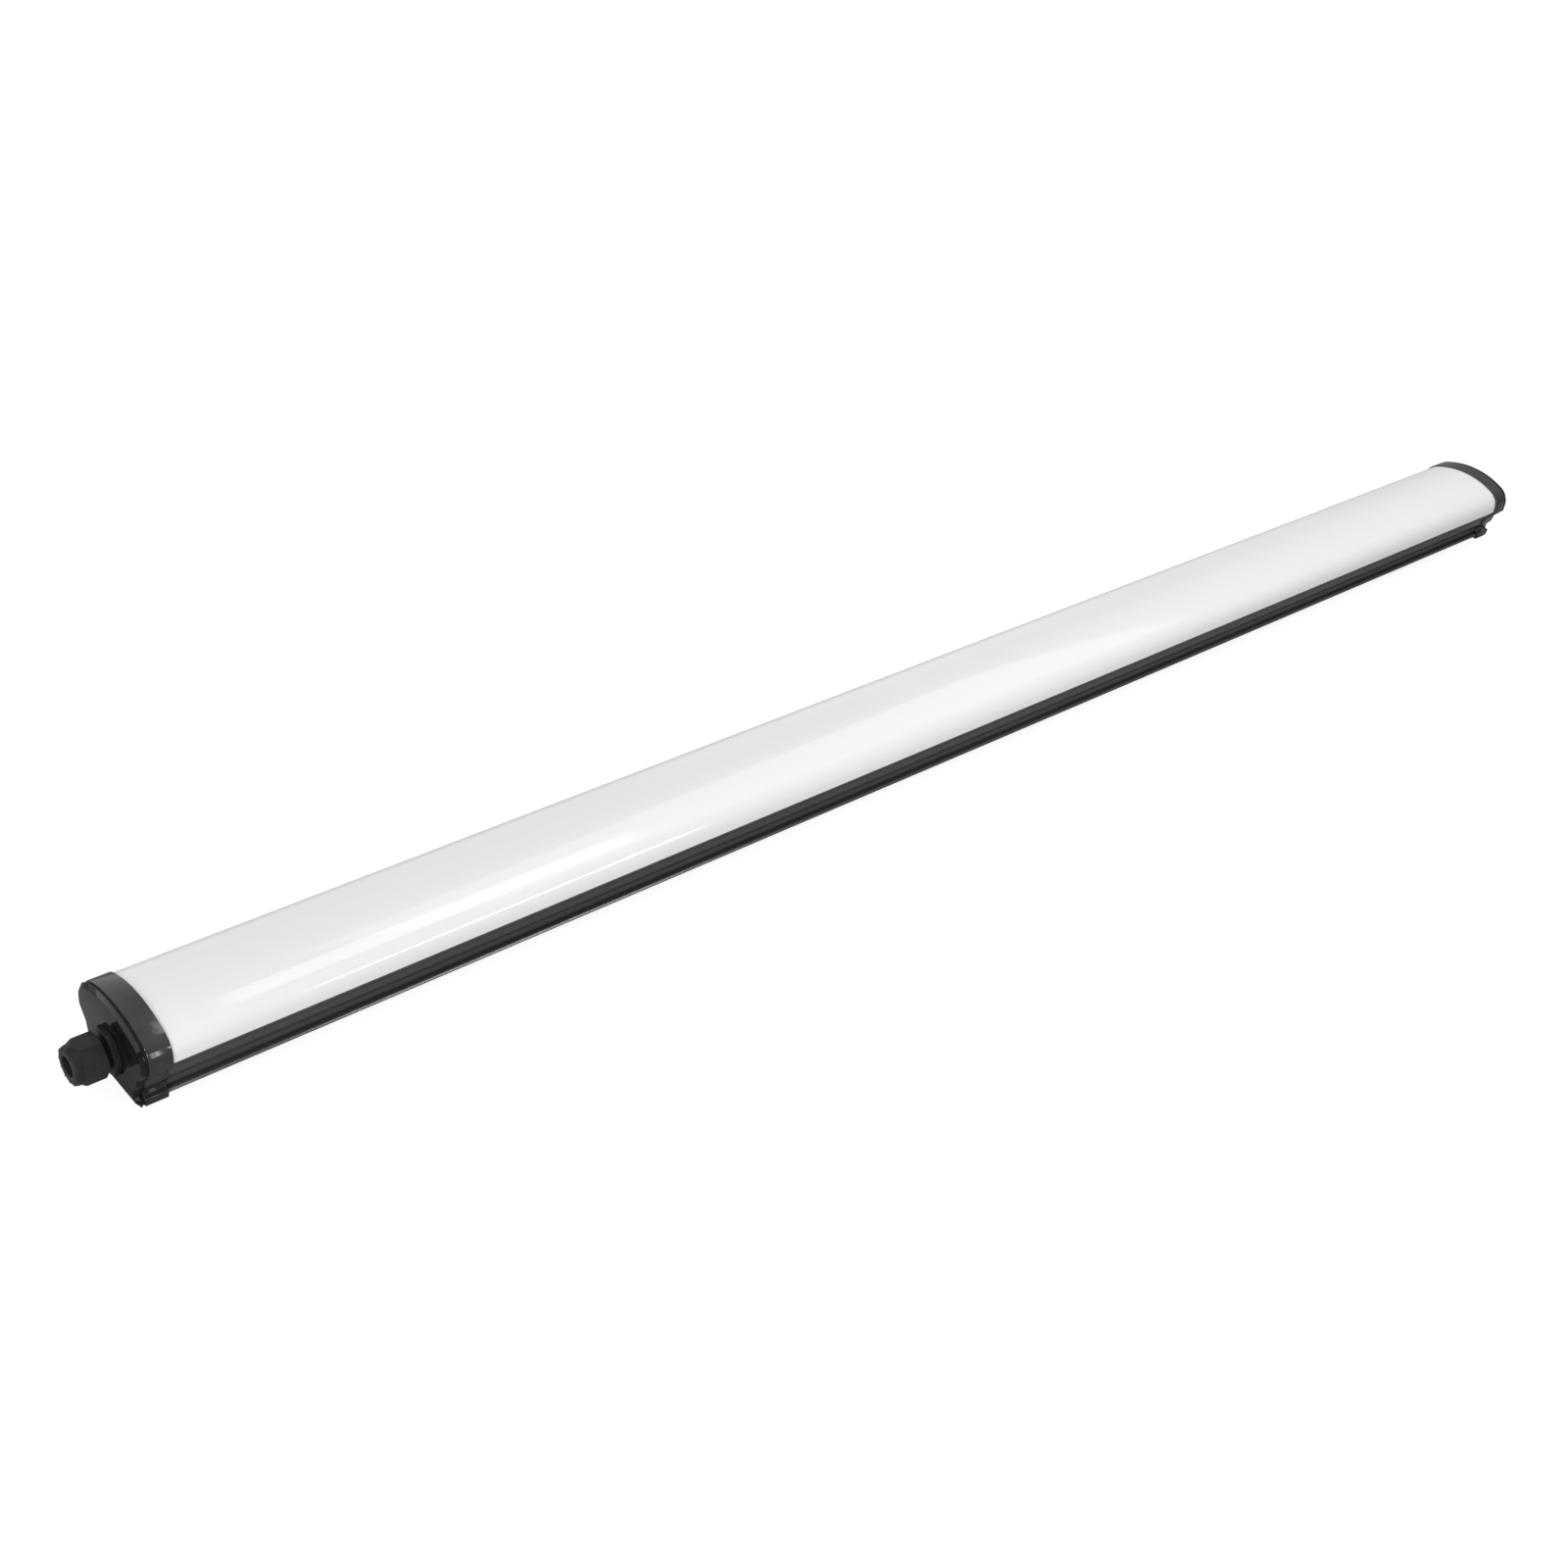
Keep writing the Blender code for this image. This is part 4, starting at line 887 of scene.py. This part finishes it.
floor_height = cad_box[0][2]
floor_reach = 6.0
floor_colour = 0.36
floor_glow = 0.84
reflected_share = 0.07
horizon_strength = 0.28
zenith_strength = 0.74
near_end_share = 0.35
wall_strength = 1.0
sky_from, sky_to = 0.1, 0.95  # heights of the line of sight
wall_from, wall_to = 0.5, 0.8  # how far it points to +Y


def shown_background(tree):
    """1 to the camera and through clear pieces, plus a share of it in reflections."""
    seen = tree.nodes.new("ShaderNodeLightPath")
    direct = tree.nodes.new("ShaderNodeMath")
    direct.operation = "MAXIMUM"
    tree.links.new(seen.outputs["Is Camera Ray"], direct.inputs[0])
    tree.links.new(seen.outputs["Is Transmission Ray"], direct.inputs[1])
    whole = tree.nodes.new("ShaderNodeMath")
    whole.operation = "MULTIPLY_ADD"
    whole.inputs[1].default_value = reflected_share
    tree.links.new(seen.outputs["Is Glossy Ray"], whole.inputs[0])
    tree.links.new(direct.outputs[0], whole.inputs[2])
    return whole.outputs[0]


def lay_floor():
    """A square grey floor with a glow that makes it white to the camera, and a little lighter
    in reflections, and that leaves the fixture's shadow on it."""
    mesh = bpy.data.meshes.new("floor")
    signs = ((-1, -1), (1, -1), (1, 1), (-1, 1))
    corners = [(x * floor_reach, y * floor_reach, floor_height) for x, y in signs]
    mesh.from_pydata(corners, [], [(0, 1, 2, 3)])
    floor = bpy.data.objects.new("floor", mesh)
    bpy.context.scene.collection.objects.link(floor)
    material = bpy.data.materials.new("floor_white")
    material.use_nodes = True
    tree = material.node_tree
    tree.nodes.clear()
    matt = tree.nodes.new("ShaderNodeBsdfDiffuse")
    matt.inputs["Color"].default_value = (floor_colour,) * 3 + (1,)
    glow = tree.nodes.new("ShaderNodeEmission")
    level = tree.nodes.new("ShaderNodeMath")
    level.operation = "MULTIPLY"
    level.inputs[1].default_value = floor_glow
    tree.links.new(shown_background(tree), level.inputs[0])
    tree.links.new(level.outputs[0], glow.inputs["Strength"])
    both = tree.nodes.new("ShaderNodeAddShader")
    out = tree.nodes.new("ShaderNodeOutputMaterial")
    tree.links.new(matt.outputs[0], both.inputs[0])
    tree.links.new(glow.outputs[0], both.inputs[1])
    tree.links.new(both.outputs[0], out.inputs["Surface"])
    mesh.materials.append(material)


def soft_box(name, centre, target, width, height, radiance):
    """An area lamp that faces a point, with the power that gives it a brightness."""
    data = bpy.data.lights.new(name, "AREA")
    data.shape = "RECTANGLE"
    data.size, data.size_y = width, height
    data.energy = radiance * np.pi * width * height
    lamp = bpy.data.objects.new(name, data)
    bpy.context.scene.collection.objects.link(lamp)
    lamp.location = centre
    aim = Vector(target) - Vector(centre)
    lamp.rotation_euler = aim.to_track_quat("-Z", "Y").to_euler()


def light_surround():
    """A surround that brightens with the height above the horizon and towards the wall behind
    the fixture, dims beyond the near end, and is white to the camera."""
    world = bpy.data.worlds.new("surround")
    bpy.context.scene.world = world
    world.use_nodes = True
    tree = world.node_tree
    background = tree.nodes["Background"]
    background.inputs["Color"].default_value = (1, 1, 1, 1)
    direction = tree.nodes.new("ShaderNodeTexCoord")
    height = tree.nodes.new("ShaderNodeSeparateXYZ")
    tree.links.new(direction.outputs["Generated"], height.inputs["Vector"])
    sky = tree.nodes.new("ShaderNodeMapRange")
    sky.interpolation_type = "SMOOTHSTEP"
    sky.inputs["From Min"].default_value = sky_from
    sky.inputs["From Max"].default_value = sky_to
    sky.inputs["To Min"].default_value = horizon_strength
    sky.inputs["To Max"].default_value = zenith_strength
    tree.links.new(height.outputs["Z"], sky.inputs["Value"])
    ends = tree.nodes.new("ShaderNodeMapRange")
    ends.inputs["From Min"].default_value = -1.0
    ends.inputs["From Max"].default_value = 0.0
    ends.inputs["To Min"].default_value = near_end_share
    ends.inputs["To Max"].default_value = 1.0
    tree.links.new(height.outputs["X"], ends.inputs["Value"])
    wall = tree.nodes.new("ShaderNodeMapRange")
    wall.interpolation_type = "SMOOTHSTEP"
    wall.inputs["From Min"].default_value = wall_from
    wall.inputs["From Max"].default_value = wall_to
    tree.links.new(height.outputs["Y"], wall.inputs["Value"])
    lit = tree.nodes.new("ShaderNodeMix")
    lit.inputs["B"].default_value = wall_strength
    tree.links.new(wall.outputs["Result"], lit.inputs["Factor"])
    tree.links.new(sky.outputs["Result"], lit.inputs["A"])
    both = tree.nodes.new("ShaderNodeMath")
    both.operation = "MULTIPLY"
    tree.links.new(ends.outputs["Result"], both.inputs[0])
    tree.links.new(lit.outputs["Result"], both.inputs[1])
    level = tree.nodes.new("ShaderNodeMix")
    tree.links.new(shown_background(tree), level.inputs["Factor"])
    tree.links.new(both.outputs[0], level.inputs["A"])
    level.inputs["B"].default_value = 1.0
    tree.links.new(level.outputs["Result"], background.inputs["Strength"])


lay_floor()
light_surround()
for name, centre, target, width, height, radiance in (
    ("overhead_box", (0.20, 0.03, 1.30), (0.20, 0.03, 0.0), 0.57, 0.37, 2.4),
    ("front_strip", (0.18, -1.06, 0.30), (-0.38, -0.03, 0.03), 0.45, 0.13, 13.0),
    ("left_box", (-1.46, 0.42, 0.36), (-0.6, 0.0, 0.02), 1.50, 0.36, 1.8),
    ("left_lamp", (-1.55, -0.45, 0.48), (-0.6, 0.0, 0.02), 0.07, 0.07, 80.0),
    ("side_box", (-2.40, -1.60, 0.38), (0.0, 0.0, 0.03), 1.40, 0.60, 11.0),
    ("far_panel", (0.80, 0.05, 1.30), (0.60, 0.0, 0.0), 1.20, 1.20, 1.15),
    ("low_card", (-0.32, -1.00, 0.19), (-0.59, -0.03, 0.03), 0.09, 0.38, 9.0),
):
    soft_box(name, centre, target, width, height, radiance)

bpy.context.scene.view_settings.view_transform = "Standard"
